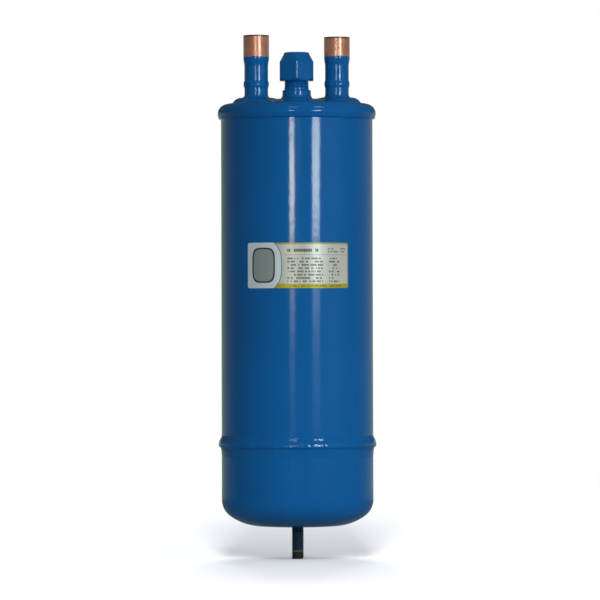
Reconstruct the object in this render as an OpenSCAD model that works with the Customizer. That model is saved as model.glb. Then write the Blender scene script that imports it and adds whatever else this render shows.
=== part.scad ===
// Oil separator for a refrigeration circuit: a welded upright steel vessel with
// two copper solder sockets, a flare connection for the returning oil, a fixing
// stud underneath and a float valve inside.
// Z = 0 is the vessel's underside, the stud hangs below it, and the front faces -Y.

/* [Vessel] */
// Outside diameter of the shell tube
shell_d = 101.6; // [97:0.1:120]
// Wall of the shell tube
shell_wall = 2.5; // [2:0.1:3]
// Height of the cap's crown above the underside
vessel_h = 286.3; // [275:0.1:330]
// Wall of the pressed cap and of the drawn cup
end_wall = 2.15; // [1.8:0.05:2.5]
// Crown radius of the cap
crown_r = 298; // [250:1:400]
// Radius of the cap's rolled rim
rim_r = 6.7; // [6:0.1:8]
// Straight skirt of the cap below its rim
skirt_l = 2; // [1.2:0.1:3]
// Leg of the weld under the skirt
skirt_weld_l = 2.1; // [1.5:0.1:3]
// Height of the seam between cup and shell
seam_z = 56; // [52:0.5:64]
// Height of the seam's weld bead
bead_h = 10; // [8:0.1:12]
// How far the bead stands proud of the shell
bead_proud = 2.1; // [1.5:0.1:3]
// Gap between shell and cup that the weld fills
root_gap = 1.2; // [0.8:0.1:2]
// Length of the cup's spigot inside the shell
spigot_l = 7; // [5:0.5:10]
// Reach of the cup's rounded edge, inwards from the wall
dish_reach = 28; // [25:0.5:30]
// Height of the cup's rounded edge
dish_h = 17.8; // [16:0.1:20]
// Tighter radius of that edge, beside the wall
dish_r = 12; // [10:0.1:13]

/* [Fixing stud] */
// Thread diameter of the stud
stud_d = 8; // [6:1:12]
// Length of the stud below the underside
stud_l = 21.5; // [15:0.5:40]
// Chamfer on the stud's end
stud_chamfer = 1; // [0.5:0.1:1.5]

/* [Gas connections] */
// Outside diameter of the connecting tubes
pipe_d = 15.9; // [14:0.1:18]
// Distance between the two connections
pipe_spacing = 54; // [48:0.5:58]
// Wall of the steel nipples
nipple_wall = 1.5; // [1:0.1:2]
// Length of a nipple above its boss
nipple_rise = 9; // [6:0.5:14]
// Depth of a nipple below the crown
nipple_drop = 26; // [20:0.5:40]
// Wall of the copper stubs
stub_wall = 1; // [0.8:0.1:1.5]
// Plain length of a stub, from the joint to the swage
stub_plain_l = 12.1; // [8:0.1:20]
// Length of the swage that widens a stub to its socket
swage_l = 5.5; // [3:0.1:8]
// Depth of the inlet socket
inlet_socket_l = 15.3; // [10:0.1:22]
// Depth of the outlet socket
outlet_socket_l = 13.9; // [10:0.1:22]
// Wall of the widened sockets
socket_wall = 0.6; // [0.5:0.05:1.2]
// Height of the braze bead at the joint
braze_h = 4.7; // [3:0.1:6]
// How far the braze bead stands proud
braze_proud = 0.65; // [0.4:0.05:1.2]
// Rise of a pressed boss above the crown
boss_rise = 1.8; // [1.4:0.1:3]
// Rounding of a boss's shoulder
boss_edge_r = 6; // [4:0.1:7]
// Flat land between a nipple's weld and the boss's shoulder
boss_land = 0.6; // [0.3:0.1:1.5]
// Leg of the weld round a nipple
nipple_weld_l = 1.9; // [1:0.1:2.5]

/* [Oil return connection] */
// Diameter of the fitting's stem through the cap
stem_d = 13; // [11:0.5:15]
// Depth of the stem below the crown
stem_drop = 14; // [10:0.5:20]
// Diameter of the fitting's collar
collar_d = 19.1; // [17:0.1:21]
// Height of the collar above the crown
collar_h = 5.7; // [4:0.1:8]
// Diameter of the neck under the nut
neck_d = 16.5; // [16:0.1:18]
// Length of the neck
neck_l = 5.5; // [4:0.1:10]
// Major diameter of the flare thread
thread_d = 15.9; // [14:0.1:16]
// Length of the flare thread
thread_l = 11; // [9:0.1:14]
// Bore through the fitting
flare_bore_d = 6; // [4:0.5:7]
// Width of the nut across its flats
nut_af = 22.6; // [21:0.1:27]
// Height of the nut's hexagon
hex_h = 12.9; // [10:0.1:16]
// Height of the nut from end to end
nut_h = 19.4; // [18:0.1:26]
// Diameter of the nut's round top
nut_top_d = 16.8; // [14:0.1:20]
// Tube hole through the nut
nut_hole_d = 9.8; // [8:0.1:11]
// Gap between the neck and the nut's underside
nut_gap = 0.4; // [0.2:0.1:1]
// Sheet of the copper bonnet that seals the flare
bonnet_t = 0.8; // [0.5:0.1:1]
// Foot of the weld round the collar, along the cap
collar_weld_l = 2.6; // [1.5:0.1:3.5]
// Height of the weld round the collar
collar_weld_h = 2.4; // [1:0.1:3.5]

/* [Rating label] */
// Width of the label along the shell
label_w = 71.8; // [40:0.1:100]
// Height of the label
label_h = 30; // [20:0.5:60]
// Height of the label's lower edge
label_z = 159.2; // [80:0.1:200]
// Turn of the label's middle from the front, in degrees
label_turn = 0.9; // [-20:0.1:20]
// Thickness of the label
label_t = 0.15; // [0.1:0.05:0.3]
// Thickness of the glue behind the label
glue_t = 0.1; // [0.05:0.05:0.2]

/* [Screens and baffle] */
// Outside diameter of the two screens
screen_d = 26; // [23:0.5:30]
// Sheet of the screens
screen_t = 0.8; // [0.5:0.1:1.2]
// Length of the inlet screen
inlet_screen_l = 78; // [50:1:110]
// Length of the outlet screen
outlet_screen_l = 54; // [40:1:110]
// Length of nipple that a screen's collar overlaps
screen_lap = 6; // [4:0.5:10]
// Diameter of the screens' holes
mesh_hole_d = 4.5; // [3:0.1:5.5]
// Height between two rows of holes
mesh_pitch = 9; // [7:0.5:14]
// Thickness of a screen's collar and end disc
screen_disc_t = 2; // [1:0.1:3]
// Height of the baffle plate
baffle_z = 96; // [80:1:130]
// Sheet of the baffle plate
baffle_t = 1.2; // [0.8:0.1:2]
// Height of the baffle's turned-up rim
baffle_rim_h = 9; // [6:0.5:14]
// Diameter of the baffle's drain holes
drain_d = 9; // [6:0.5:12]
// Distance of the drain holes from the baffle's rim
drain_inset = 12; // [9:0.5:16]

/* [Float valve] */
// Sheet of the bracket on the vessel's floor
foot_t = 1.5; // [1:0.1:2.5]
// Height of the bracket's two cheeks
cheek_h = 7; // [6:0.5:8]
// Width of the valve body
body_w = 14; // [12:0.5:16]
// Height of the valve body up to its deck
body_h = 12.5; // [12:0.1:15]
// Diameter of the socket tower for the return tube
tower_d = 13; // [12:0.5:14]
// Height of the tower above the deck
tower_h = 14; // [11:0.5:18]
// Outside diameter of the return tube
tube_d = 8; // [6.5:0.5:9]
// Wall of the return tube
tube_wall = 1; // [0.8:0.1:1.2]
// Depth to which the return tube sits in its two sockets
tube_lap = 8; // [6:0.5:9]
// Distance from the return tube to the needle
needle_x = 12; // [11.5:0.5:14]
// Distance from the needle to the float's pivot
throw = 6.5; // [6.5:0.1:8]
// Height of the pivot above the deck
pivot_h = 11; // [10:0.5:14]
// Travel of the float from shut to open, in degrees
swing = 12; // [8:1:14]
// Diameter of the pivot pin
pivot_d = 3; // [2:0.1:3.6]
// Radius of the lug round the pivot pin
lug_r = 3.2; // [2.8:0.1:3.3]
// Diameter of the valve seat's orifice
orifice_d = 1.6; // [1:0.1:1.8]
// Diameter of the needle
needle_d = 3; // [2.6:0.1:3.2]
// Diameter of the seat where it is pressed into the body
seat_press_d = 4.8; // [4.4:0.1:5.4]
// Diameter of the seat's guide
guide_d = 6; // [5.6:0.1:6.2]
// Height of the guide above the deck
guide_h = 6.7; // [6:0.1:7.5]
// Diameter of the pin through the needle's head
link_d = 1.5; // [1:0.1:1.8]
// Sheet of the float's lever
lever_t = 1.2; // [0.8:0.1:1.6]
// Half the height of the lever's cheeks
lever_r = 3.2; // [2.8:0.1:3.6]
// Diameter of the float ball
ball_d = 34; // [28:0.5:35]
// Sheet of the float ball
ball_wall = 0.5; // [0.4:0.1:1]
// Room between the ball and the cup's wall
ball_room = 2.1; // [1.8:0.1:3]
// Diameter of the boss between lever and ball
ball_boss_d = 5; // [4:0.5:6]
// Diameter of the bracket's rivets
rivet_d = 3; // [2:0.1:3.4]

/* [Fits] */
// Radial gap of pieces pushed together before they are welded or brazed
seat_gap = 0.05; // [0.02:0.01:0.1]
// Radial gap of the pivot pin in the lever
run_gap = 0.05; // [0.03:0.01:0.1]
// Radial gap of the needle in its guide
slide_gap = 0.1; // [0.05:0.01:0.15]
// Gap between the needle's cone and its seat
cone_gap = 0.05; // [0.03:0.01:0.08]
// Gap round the link pin in the lever's slot
slot_gap = 0.15; // [0.1:0.01:0.2]
// Gap between the lever's bridge and the tower
bridge_gap = 1.5; // [1.2:0.1:2]
// Gap between the lever's cheeks and the valve body
cheek_gap = 0.4; // [0.3:0.1:0.6]
// Radial gap of the return tube in the baffle
pass_gap = 0.3; // [0.2:0.1:0.6]
// Radial gap between the fitting's thread and the nut
thread_gap = 0.1; // [0.05:0.05:0.2]
// Radial gap of a connecting tube in its socket
socket_gap = 0.06; // [0.04:0.01:0.1]

/* [Hidden] */
$fn = 96;

// Steps of a rounded profile, and a cut's run past a face
arc_n = 10;
over = 1;

// Radii of the vessel
shell_r = shell_d / 2;
shell_in_r = shell_r - shell_wall;
cap_in_r = shell_r + seat_gap;
cap_r = cap_in_r + end_wall;
cup_in_r = shell_r - end_wall;
spigot_r = shell_in_r - seat_gap;
spigot_in_r = spigot_r - end_wall;

// The cap's rim is tangent to its crown
crown_cz = vessel_h - crown_r;
rim_cr = cap_r - rim_r;
rim_cz = crown_cz + sqrt(pow(crown_r - rim_r, 2) - pow(rim_cr, 2));
rim_angle = atan2(rim_cz - crown_cz, rim_cr);
skirt_z = rim_cz - skirt_l;
cap_h = vessel_h + boss_rise - skirt_z;

// The cup's edge is two tangent arcs between the flat floor and the wall
floor_r = shell_r - dish_reach;
dish_r2 = (pow(dish_reach, 2) + pow(dish_h, 2) - 2 * dish_reach * dish_r) / (2 * (dish_h - dish_r));
dish_angle = atan2(dish_h - dish_r2, dish_reach - dish_r);
shoulder_z = seam_z - root_gap / 2;
shell_z = seam_z + root_gap / 2;
bead_r = (pow(bead_h / 2, 2) + pow(bead_proud, 2)) / (2 * bead_proud);
bead_angle = asin(bead_h / 2 / bead_r);

// Gas connections, the inlet on the left
pipe_r = pipe_d / 2;
pipe_x = pipe_spacing / 2;
boss_z = crown_z(pipe_x) + boss_rise;
boss_top_r = pipe_r + nipple_weld_l + boss_land;
joint_z = boss_z + nipple_rise;
nipple_z = vessel_h - nipple_drop;
swage_z = joint_z + stub_plain_l;
socket_z = swage_z + swage_l;
socket_r = pipe_r + socket_gap;

// Oil return connection
stem_r = stem_d / 2;
stem_z = vessel_h - stem_drop;
collar_r = collar_d / 2;
collar_z = vessel_h + collar_h;
neck_r = neck_d / 2;
neck_z = collar_z + neck_l;
thread_r = thread_d / 2;
flare_z = neck_z + thread_l;
flare_bore_r = flare_bore_d / 2;
nose_r = flare_bore_r + 0.4;
bonnet_r = thread_r - 1.5;
nut_z = neck_z + nut_gap;
nut_hole_r = nut_hole_d / 2;
crown_cap_r = nut_hole_r - 0.7;

// Screens and baffle
screen_r = screen_d / 2;
screen_in_r = screen_r - screen_t;
screen_top = nipple_z + screen_lap;
baffle_r = shell_in_r - seat_gap;
drain_count = 8;
mesh_columns = 8;

// Float valve, with its deck above the floor
foot_z = end_wall;
body_z = foot_z + foot_t;
deck_z = body_z + body_h;
passage_z = body_z + 7;
passage_r = 1.5;
tube_r = tube_d / 2;
tube_in_r = tube_r - tube_wall;
tower_r = tower_d / 2;
tower_z = deck_z + tower_h;
pivot_x = -needle_x - throw;
pivot_z = deck_z + pivot_h;
pivot_r = pivot_d / 2;
body_x = pivot_x - lug_r;
seat_depth = 3.5;
seat_z = deck_z - seat_depth;
guide_z = deck_z + guide_h;
orifice_r = orifice_d / 2;
needle_r = needle_d / 2;
guide_in_r = needle_r + slide_gap;
seat_cone_z = deck_z - 1.2;
cone_tan = tan(30);
waist_r = needle_r - 0.5;
port_z = deck_z + 2.6;
link_r = link_d / 2;
lever_y = body_w / 2 + cheek_gap;
lever_end_y = lever_y + lever_t;
bridge_x = tower_r + bridge_gap;
bridge_end = bridge_x + lever_t;
ball_r = ball_d / 2;
ball_x = cup_in_r - ball_room - ball_r;
rivet_z = body_z + 3;
rivet_xs = [pivot_x + 4, 2];

// Points of an arc about a centre, from one angle to another
function arc(centre, radius, from, to, first = 0) =
    [for (i = [first:arc_n])
        let (a = from + (to - from) * i / arc_n)
        centre + radius * [cos(a), sin(a)]];

// A list of points the other way round
function flip(points) = [for (i = [len(points) - 1:-1:0]) points[i]];

// Height of the crown's outside at a distance from the axis
function crown_z(r) = vessel_h - crown_r + sqrt(pow(crown_r, 2) - pow(r, 2));

// The cap's profile from the axis to its widest, set in from the outside
function cap_line(inset) = concat(
    arc([0, crown_cz], crown_r - inset, 90, rim_angle),
    arc([rim_cr, rim_cz], rim_r - inset, rim_angle, 0, 1));

// The cup's profile from the axis to its wall, set in from the outside
function cup_line(inset) = concat(
    [[0, inset]],
    arc([floor_r, dish_r2], dish_r2 - inset, -90, dish_angle),
    arc([shell_r - dish_r, dish_h], dish_r - inset, dish_angle, 0, 1));

// Pieces of the left and right connections, at their own places
module at_inlet() { translate([-pipe_x, 0, 0]) children(); }
module at_outlet() { translate([pipe_x, 0, 0]) children(); }

// A plain tube
module tube(outer_r, inner_r, from_z, to_z) {
    translate([0, 0, from_z]) difference() {
        cylinder(r = outer_r, h = to_z - from_z);
        translate([0, 0, -over]) cylinder(r = inner_r, h = to_z - from_z + 2 * over);
    }
}

// A bar along Y
module cross_bar(x, z, radius, from_y, to_y) {
    translate([x, from_y, z]) rotate([-90, 0, 0]) cylinder(r = radius, h = to_y - from_y);
}

module shell() {
    color("#1c5a94") tube(shell_r, shell_in_r, shell_z, rim_cz);
}

module cap_solid(inset, base_z) {
    rotate_extrude() polygon(concat(
        [[0, base_z]], cap_line(inset), [[cap_r - inset, base_z]]));
}

module boss_solid(inset) {
    base_z = boss_z - boss_edge_r;
    rotate_extrude() polygon(concat(
        [[0, base_z], [0, boss_z - inset]],
        arc([boss_top_r, base_z], boss_edge_r - inset, 90, 0)));
}

module top_cap() {
    color("#1c5a94") difference() {
        union() {
            cap_solid(0, skirt_z);
            at_inlet() boss_solid(0);
            at_outlet() boss_solid(0);
        }
        cap_solid(end_wall, skirt_z - over);
        at_inlet() boss_solid(end_wall);
        at_outlet() boss_solid(end_wall);
        translate([0, 0, skirt_z]) {
            at_inlet() cylinder(r = pipe_r + seat_gap, h = cap_h + over);
            at_outlet() cylinder(r = pipe_r + seat_gap, h = cap_h + over);
            cylinder(r = stem_r + seat_gap, h = cap_h + over);
        }
    }
}

module bottom_cup() {
    color("#1c5a94") rotate_extrude() polygon(concat(
        cup_line(0),
        [[shell_r, shoulder_z], [spigot_r, shoulder_z], [spigot_r, shoulder_z + spigot_l],
            [spigot_in_r, shoulder_z + spigot_l], [spigot_in_r, shoulder_z - 1],
            [cup_in_r, shoulder_z - 1 - 2 * (cup_in_r - spigot_in_r)]],
        flip(cup_line(end_wall))));
}

// A fillet weld in the corner under the cap's skirt
module cap_weld() {
    color("#1c5a94") rotate_extrude() polygon(concat(
        [[shell_r, skirt_z]],
        [for (i = [0:arc_n])
            let (a = 90 * i / arc_n)
            [shell_r + (cap_r - shell_r) * cos(a), skirt_z - skirt_weld_l * sin(a)]]));
}

// A girth weld with its root between the shell's edge and the cup's shoulder
module seam_weld() {
    color("#1c5a94") rotate_extrude() polygon(concat(
        arc([shell_r + bead_proud - bead_r, seam_z], bead_r, -bead_angle, bead_angle),
        [[shell_r, shell_z], [spigot_r, shell_z], [spigot_r, shoulder_z], [shell_r, shoulder_z]]));
}

module mounting_stud() {
    r = stud_d / 2;
    color("#22303a") rotate_extrude() polygon([
        [0, 0], [r, 0], [r, stud_chamfer - stud_l], [r - stud_chamfer, -stud_l], [0, -stud_l]]);
}

module nipple() {
    tube(pipe_r, pipe_r - nipple_wall, nipple_z, joint_z);
}

module inlet_nipple() { color("#1c5a94") at_inlet() nipple(); }
module outlet_nipple() { color("#1c5a94") at_outlet() nipple(); }

// A fillet weld on the boss's flat top
module nipple_weld() {
    rotate_extrude() polygon(concat(
        [[pipe_r, boss_z]],
        flip(arc([pipe_r, boss_z] + nipple_weld_l * [1, 1], nipple_weld_l, 180, 270))));
}

module inlet_weld() { color("#1c5a94") at_inlet() nipple_weld(); }
module outlet_weld() { color("#1c5a94") at_outlet() nipple_weld(); }

// A bead round the joint of nipple and stub
module braze_ring() {
    rotate_extrude() polygon(
        [for (i = [-arc_n:arc_n])
            let (a = 90 * i / arc_n)
            [pipe_r + braze_proud * cos(a), joint_z + braze_h / 2 * sin(a)]]);
}

module inlet_braze() { color("#1c5a94") at_inlet() braze_ring(); }
module outlet_braze() { color("#1c5a94") at_outlet() braze_ring(); }

// A copper tube swaged out to a solder socket
module stub(socket_l) {
    top_z = socket_z + socket_l;
    socket_out_r = socket_r + socket_wall;
    rotate_extrude() polygon([
        [pipe_r - stub_wall, joint_z], [pipe_r, joint_z], [pipe_r, swage_z],
        [socket_out_r, socket_z], [socket_out_r, top_z], [socket_r, top_z],
        [socket_r, socket_z], [pipe_r - stub_wall, swage_z]]);
}

module inlet_stub() { color("#b87858") at_inlet() stub(inlet_socket_l); }
module outlet_stub() { color("#b87858") at_outlet() stub(outlet_socket_l); }

// Turned fitting: stem with a socket for the return tube, collar, thread, flare
module flare_fitting() {
    lap_z = stem_z + tube_lap;
    tip_z = flare_z + thread_r - nose_r;
    tube_fit_r = tube_r + seat_gap;
    color("#1c5a94") rotate_extrude() polygon([
        [tube_fit_r, stem_z], [stem_r, stem_z], [stem_r, vessel_h], [collar_r, vessel_h],
        [collar_r, collar_z], [neck_r, collar_z], [neck_r, neck_z], [thread_r, neck_z],
        [thread_r, flare_z], [nose_r, tip_z], [flare_bore_r, tip_z], [flare_bore_r, lap_z],
        [tube_fit_r, lap_z]]);
}

// A hollow fillet from the cap up the collar
module fitting_weld() {
    foot_r = collar_r + collar_weld_l;
    weld_z = crown_z(foot_r);
    weld_h = vessel_h + collar_weld_h - weld_z;
    color("#1c5a94") rotate_extrude() polygon(concat(
        [[collar_r, crown_z(collar_r)]],
        [for (i = [0:arc_n])
            let (a = 90 * i / arc_n)
            [foot_r - collar_weld_l * sin(a), weld_z + weld_h * (1 - cos(a))]]));
}

// A forged nut that goes from a hexagon to a round top, with a flare seat inside
module flare_nut() {
    seat_line = flare_z + thread_r + bonnet_t * sqrt(2);
    bore_r = thread_r + thread_gap;
    color("#1c5a94") difference() {
        translate([0, 0, nut_z]) hull() {
            rotate([0, 0, 30]) cylinder(r = nut_af / sqrt(3), h = hex_h, $fn = 6);
            cylinder(d = nut_top_d, h = nut_h, $fn = 36);
        }
        rotate_extrude() polygon([
            [0, nut_z - over], [bore_r, nut_z - over], [bore_r, seat_line - bore_r],
            [nut_hole_r, seat_line - nut_hole_r], [nut_hole_r, nut_z + nut_h + over],
            [0, nut_z + nut_h + over]]);
    }
}

// A copper cup clamped between the flare and the nut
module flare_bonnet() {
    line = flare_z + thread_r;
    rise = bonnet_t * sqrt(2);
    skirt_out = bonnet_t / sqrt(2);
    tip_z = line - nose_r;
    color("#b87858") rotate_extrude() polygon([
        [bonnet_r, line - bonnet_r], [bonnet_r + skirt_out, line - bonnet_r + skirt_out],
        [crown_cap_r, line + rise - crown_cap_r], [crown_cap_r, tip_z + 1.2 + bonnet_t],
        [0, tip_z + 1.2 + bonnet_t], [0, tip_z + 1.2], [nose_r, tip_z + 1.2], [nose_r, tip_z]]);
}

module rating_label() {
    back_r = shell_r + glue_t;
    span = label_w / back_r * 180 / PI;
    color("#b4b8b4") rotate([0, 0, label_turn - 90 - span / 2]) rotate_extrude(angle = span)
        translate([back_r, label_z]) square([label_t, label_h]);
}

// A perforated sleeve that hangs from a nipple, with its holes in staggered rows
module screen(length) {
    rows = floor((length - 2 * screen_lap - mesh_hole_d) / mesh_pitch);
    high_z = screen_top - screen_lap - mesh_hole_d / 2;
    difference() {
        tube(screen_r, screen_in_r, screen_top - length, screen_top);
        for (row = [0:rows], column = [0:mesh_columns - 1])
            rotate([0, 0, (column + (row % 2) / 2) * 360 / mesh_columns])
                translate([screen_in_r - over, 0, high_z - row * mesh_pitch]) rotate([0, 90, 0])
                    cylinder(d = mesh_hole_d, h = screen_t + 2 * over);
    }
}

module screen_collar() {
    tube(screen_in_r - seat_gap, pipe_r + seat_gap, screen_top - screen_disc_t, screen_top);
}

module screen_end(length) {
    translate([0, 0, screen_top - length]) cylinder(r = screen_in_r - seat_gap, h = screen_disc_t);
}

module inlet_screen() { color("#c8ccd0") at_inlet() screen(inlet_screen_l); }
module inlet_collar() { color("#aab0b4") at_inlet() screen_collar(); }
module inlet_end() { color("#aab0b4") at_inlet() screen_end(inlet_screen_l); }
module outlet_screen() { color("#c8ccd0") at_outlet() screen(outlet_screen_l); }
module outlet_collar() { color("#aab0b4") at_outlet() screen_collar(); }
module outlet_end() { color("#aab0b4") at_outlet() screen_end(outlet_screen_l); }

// A dished plate with a turned-up rim that keeps the gas off the oil
module baffle_plate() {
    bend_r = 2 * baffle_t;
    color("#aab0b4") translate([0, 0, baffle_z]) difference() {
        rotate_extrude() polygon(concat(
            [[0, 0]],
            arc([baffle_r - bend_r, bend_r], bend_r, -90, 0),
            [[baffle_r, baffle_rim_h], [baffle_r - baffle_t, baffle_rim_h]],
            flip(arc([baffle_r - bend_r, bend_r], bend_r - baffle_t, -90, 0)),
            [[0, baffle_t]]));
        translate([0, 0, -over]) {
            cylinder(r = tube_r + pass_gap, h = baffle_t + 2 * over);
            for (i = [0:drain_count - 1])
                rotate([0, 0, (i + 0.5) * 360 / drain_count])
                    translate([baffle_r - drain_inset, 0, 0])
                        cylinder(d = drain_d, h = baffle_t + 2 * over);
        }
    }
}

module return_tube() {
    color("#b87858") tube(tube_r, tube_in_r, tower_z - tube_lap, stem_z + tube_lap);
}

// A round foot on the floor with two cheeks that hold the valve body
module bracket() {
    cheek_l = rivet_xs[1] - rivet_xs[0] + 8;
    color("#aab0b4") difference() {
        union() {
            translate([0, 0, foot_z]) cylinder(r = floor_r, h = foot_t);
            for (side = [0, 1])
                mirror([0, side, 0])
                    translate([rivet_xs[0] - 4, body_w / 2, foot_z + foot_t / 2])
                        cube([cheek_l, foot_t, foot_t / 2 + cheek_h]);
        }
        for (x = rivet_xs)
            cross_bar(x, rivet_z, rivet_d / 2 + seat_gap, -body_w, body_w);
    }
}

module bracket_rivets() {
    cheek_y = body_w / 2 + foot_t;
    color("#c8ccd0") for (x = rivet_xs) {
        cross_bar(x, rivet_z, rivet_d / 2, -cheek_y, cheek_y);
        cross_bar(x, rivet_z, rivet_d * 0.9, cheek_y, cheek_y + 1.2);
        cross_bar(x, rivet_z, rivet_d * 0.9, -cheek_y - 1.2, -cheek_y);
    }
}

// Brass body: tower for the return tube, bore for the seat, lug for the pivot
module valve_body() {
    color("#c0a050") difference() {
        union() {
            translate([body_x, -body_w / 2, body_z]) cube([tower_r - body_x, body_w, body_h]);
            translate([0, 0, deck_z - over]) cylinder(r = tower_r, h = tower_h + over);
            translate([body_x, -body_w / 2, deck_z - over]) cube([2 * lug_r, body_w, pivot_h + over]);
            cross_bar(pivot_x, pivot_z, lug_r, -body_w / 2, body_w / 2);
        }
        translate([0, 0, tower_z - tube_lap]) cylinder(r = tube_r + seat_gap, h = tube_lap + over);
        translate([0, 0, passage_z]) cylinder(r = tube_in_r, h = tower_z - passage_z);
        translate([body_x - over, 0, passage_z]) rotate([0, 90, 0])
            cylinder(r = passage_r, h = over - body_x);
        translate([-needle_x, 0, passage_z]) cylinder(r = orifice_r + 0.4, h = body_h);
        translate([-needle_x, 0, seat_z]) cylinder(r = seat_press_d / 2, h = seat_depth + over);
        cross_bar(pivot_x, pivot_z, pivot_r, -body_w, body_w);
        for (x = rivet_xs)
            cross_bar(x, rivet_z, rivet_d / 2 + seat_gap, -body_w, body_w);
    }
}

// A pressed plug that closes the drilled passage
module passage_plug() {
    color("#c0a050") translate([body_x, 0, passage_z]) rotate([0, 90, 0])
        cylinder(r = passage_r, h = 4);
}

// A turned seat with an orifice, a cone, a guide for the needle and cross ports
module valve_seat() {
    press_r = seat_press_d / 2;
    guide_r = guide_d / 2;
    cone_top = seat_cone_z + (guide_in_r - orifice_r) / cone_tan;
    color("#c8ccd0") translate([-needle_x, 0, 0]) difference() {
        rotate_extrude() polygon([
            [orifice_r, seat_z], [press_r, seat_z], [press_r, deck_z], [guide_r, deck_z],
            [guide_r, guide_z], [guide_in_r, guide_z], [guide_in_r, cone_top],
            [orifice_r, seat_cone_z]]);
        for (turn = [0, 90])
            translate([0, 0, port_z]) rotate([90, 0, turn])
                cylinder(d = 1.8, h = guide_d + 2 * over, center = true);
    }
}

module pivot_pin() {
    head_y = lever_end_y + cheek_gap;
    color("#c8ccd0") {
        cross_bar(pivot_x, pivot_z, pivot_r, -head_y, head_y);
        cross_bar(pivot_x, pivot_z, lug_r * 0.85, head_y, head_y + 0.8);
        cross_bar(pivot_x, pivot_z, lug_r * 0.85, -head_y - 0.8, -head_y);
    }
}

// A needle with a cone at its foot, a waist beside the ports and a drilled head
module needle() {
    tip_r = 0.25;
    cone_drop = (orifice_r - cone_gap / cos(30)) / cone_tan;
    cone_z = seat_cone_z - cone_drop;
    waist_z = port_z + 1.4;
    color("#c8ccd0") translate([-needle_x, 0, 0]) difference() {
        rotate_extrude() polygon([
            [0, cone_z + tip_r / cone_tan], [tip_r, cone_z + tip_r / cone_tan],
            [waist_r, cone_z + waist_r / cone_tan], [waist_r, waist_z],
            [needle_r, waist_z + needle_r - waist_r], [needle_r, pivot_z + 2 * needle_r],
            [0, pivot_z + 2 * needle_r]]);
        cross_bar(0, pivot_z, link_r, -needle_d, needle_d);
    }
}

module link_pin() {
    end_y = lever_end_y + cheek_gap;
    color("#c8ccd0") cross_bar(-needle_x, pivot_z, link_r, -end_y, end_y);
}

// A forked lever: two cheeks on the pivot, a bridge behind the tower, a boss for the ball
module float_lever() {
    slot_r = link_r + slot_gap;
    slot_run = throw * (1 / cos(swing) - 1);
    color("#c8ccd0") difference() {
        union() {
            for (side = [0, 1])
                mirror([0, side, 0]) {
                    translate([pivot_x, lever_y, pivot_z - lever_r])
                        cube([bridge_end - pivot_x, lever_t, 2 * lever_r]);
                    cross_bar(pivot_x, pivot_z, lever_r, lever_y, lever_end_y);
                }
            translate([bridge_x, -lever_end_y, pivot_z - lever_r])
                cube([lever_t, 2 * lever_end_y, 2 * lever_r]);
            translate([bridge_end, 0, pivot_z]) rotate([0, 90, 0])
                cylinder(d = ball_boss_d, h = ball_x - bridge_end);
        }
        cross_bar(pivot_x, pivot_z, pivot_r + run_gap, -body_w, body_w);
        for (end = [0, slot_run])
            cross_bar(-needle_x + end, pivot_z, slot_r, -body_w, body_w);
        translate([-needle_x, -body_w, pivot_z - slot_r])
            cube([slot_run, 2 * body_w, 2 * slot_r]);
        translate([ball_x, 0, pivot_z]) sphere(r = ball_r);
    }
}

module float_ball() {
    color("#c8ccd0") translate([ball_x, 0, pivot_z]) difference() {
        sphere(r = ball_r);
        sphere(r = ball_r - ball_wall);
    }
}

shell();
top_cap();
bottom_cup();
cap_weld();
seam_weld();
mounting_stud();
inlet_nipple();
outlet_nipple();
inlet_weld();
outlet_weld();
inlet_braze();
outlet_braze();
inlet_stub();
outlet_stub();
flare_fitting();
fitting_weld();
flare_nut();
flare_bonnet();
rating_label();
inlet_screen();
inlet_collar();
inlet_end();
outlet_screen();
outlet_collar();
outlet_end();
baffle_plate();
return_tube();
bracket();
bracket_rivets();
valve_body();
passage_plug();
valve_seat();
pivot_pin();
needle();
link_pin();
float_lever();
float_ball();
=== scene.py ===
"""Looks of an upright welded oil separator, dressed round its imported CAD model.

Sizes of pieces and of the label's print are millimetres in the model's own frame, and become metres
when a mesh is made. The other values of finishes, and those of the studio, are in metres.
"""

import logging
import math
from dataclasses import dataclass
from enum import Enum
from typing import Sequence

import bpy
import numpy as np
from mathutils import Matrix, Vector


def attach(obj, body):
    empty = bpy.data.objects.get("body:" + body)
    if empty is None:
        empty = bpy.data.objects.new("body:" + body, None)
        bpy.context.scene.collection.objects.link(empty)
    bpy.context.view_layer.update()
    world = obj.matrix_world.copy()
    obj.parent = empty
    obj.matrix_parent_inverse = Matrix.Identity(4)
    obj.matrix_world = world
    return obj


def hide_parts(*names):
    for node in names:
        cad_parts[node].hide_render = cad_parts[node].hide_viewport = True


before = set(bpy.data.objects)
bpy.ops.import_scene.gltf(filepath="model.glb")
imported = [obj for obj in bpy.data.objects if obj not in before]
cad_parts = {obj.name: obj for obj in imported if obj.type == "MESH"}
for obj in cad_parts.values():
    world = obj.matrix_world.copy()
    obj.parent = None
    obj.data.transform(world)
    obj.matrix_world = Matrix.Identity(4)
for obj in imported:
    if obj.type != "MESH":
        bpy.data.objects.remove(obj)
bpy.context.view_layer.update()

LOG = logging.getLogger("separator")
MM = 0.001
TURN = 2.0 * math.pi
VESSEL = "vessel"
PIPE_X = 27.0
BOSS_Z = 286.874
INLET_TOP = 328.774
OUTLET_TOP = 327.374
FLOAT = "NodeSocketFloat"
COLOUR = "NodeSocketColor"
VECTOR = "NodeSocketVector"

Array = np.ndarray
Socket = bpy.types.NodeSocket
Colour = tuple[float, float, float, float]
Screen = tuple[int, int, int]
Edges = tuple[float, float, float, float]
Strokes = tuple[float, float, float, float]


class Slot(Enum):
    """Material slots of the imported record."""

    PAINT = "blue_paint"
    STUD = "stud_steel"
    COPPER = "copper"
    LABEL = "label_foil"


class Side(Enum):
    """The two gas connections, by the sign of their X."""

    INLET = -1
    OUTLET = 1


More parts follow.
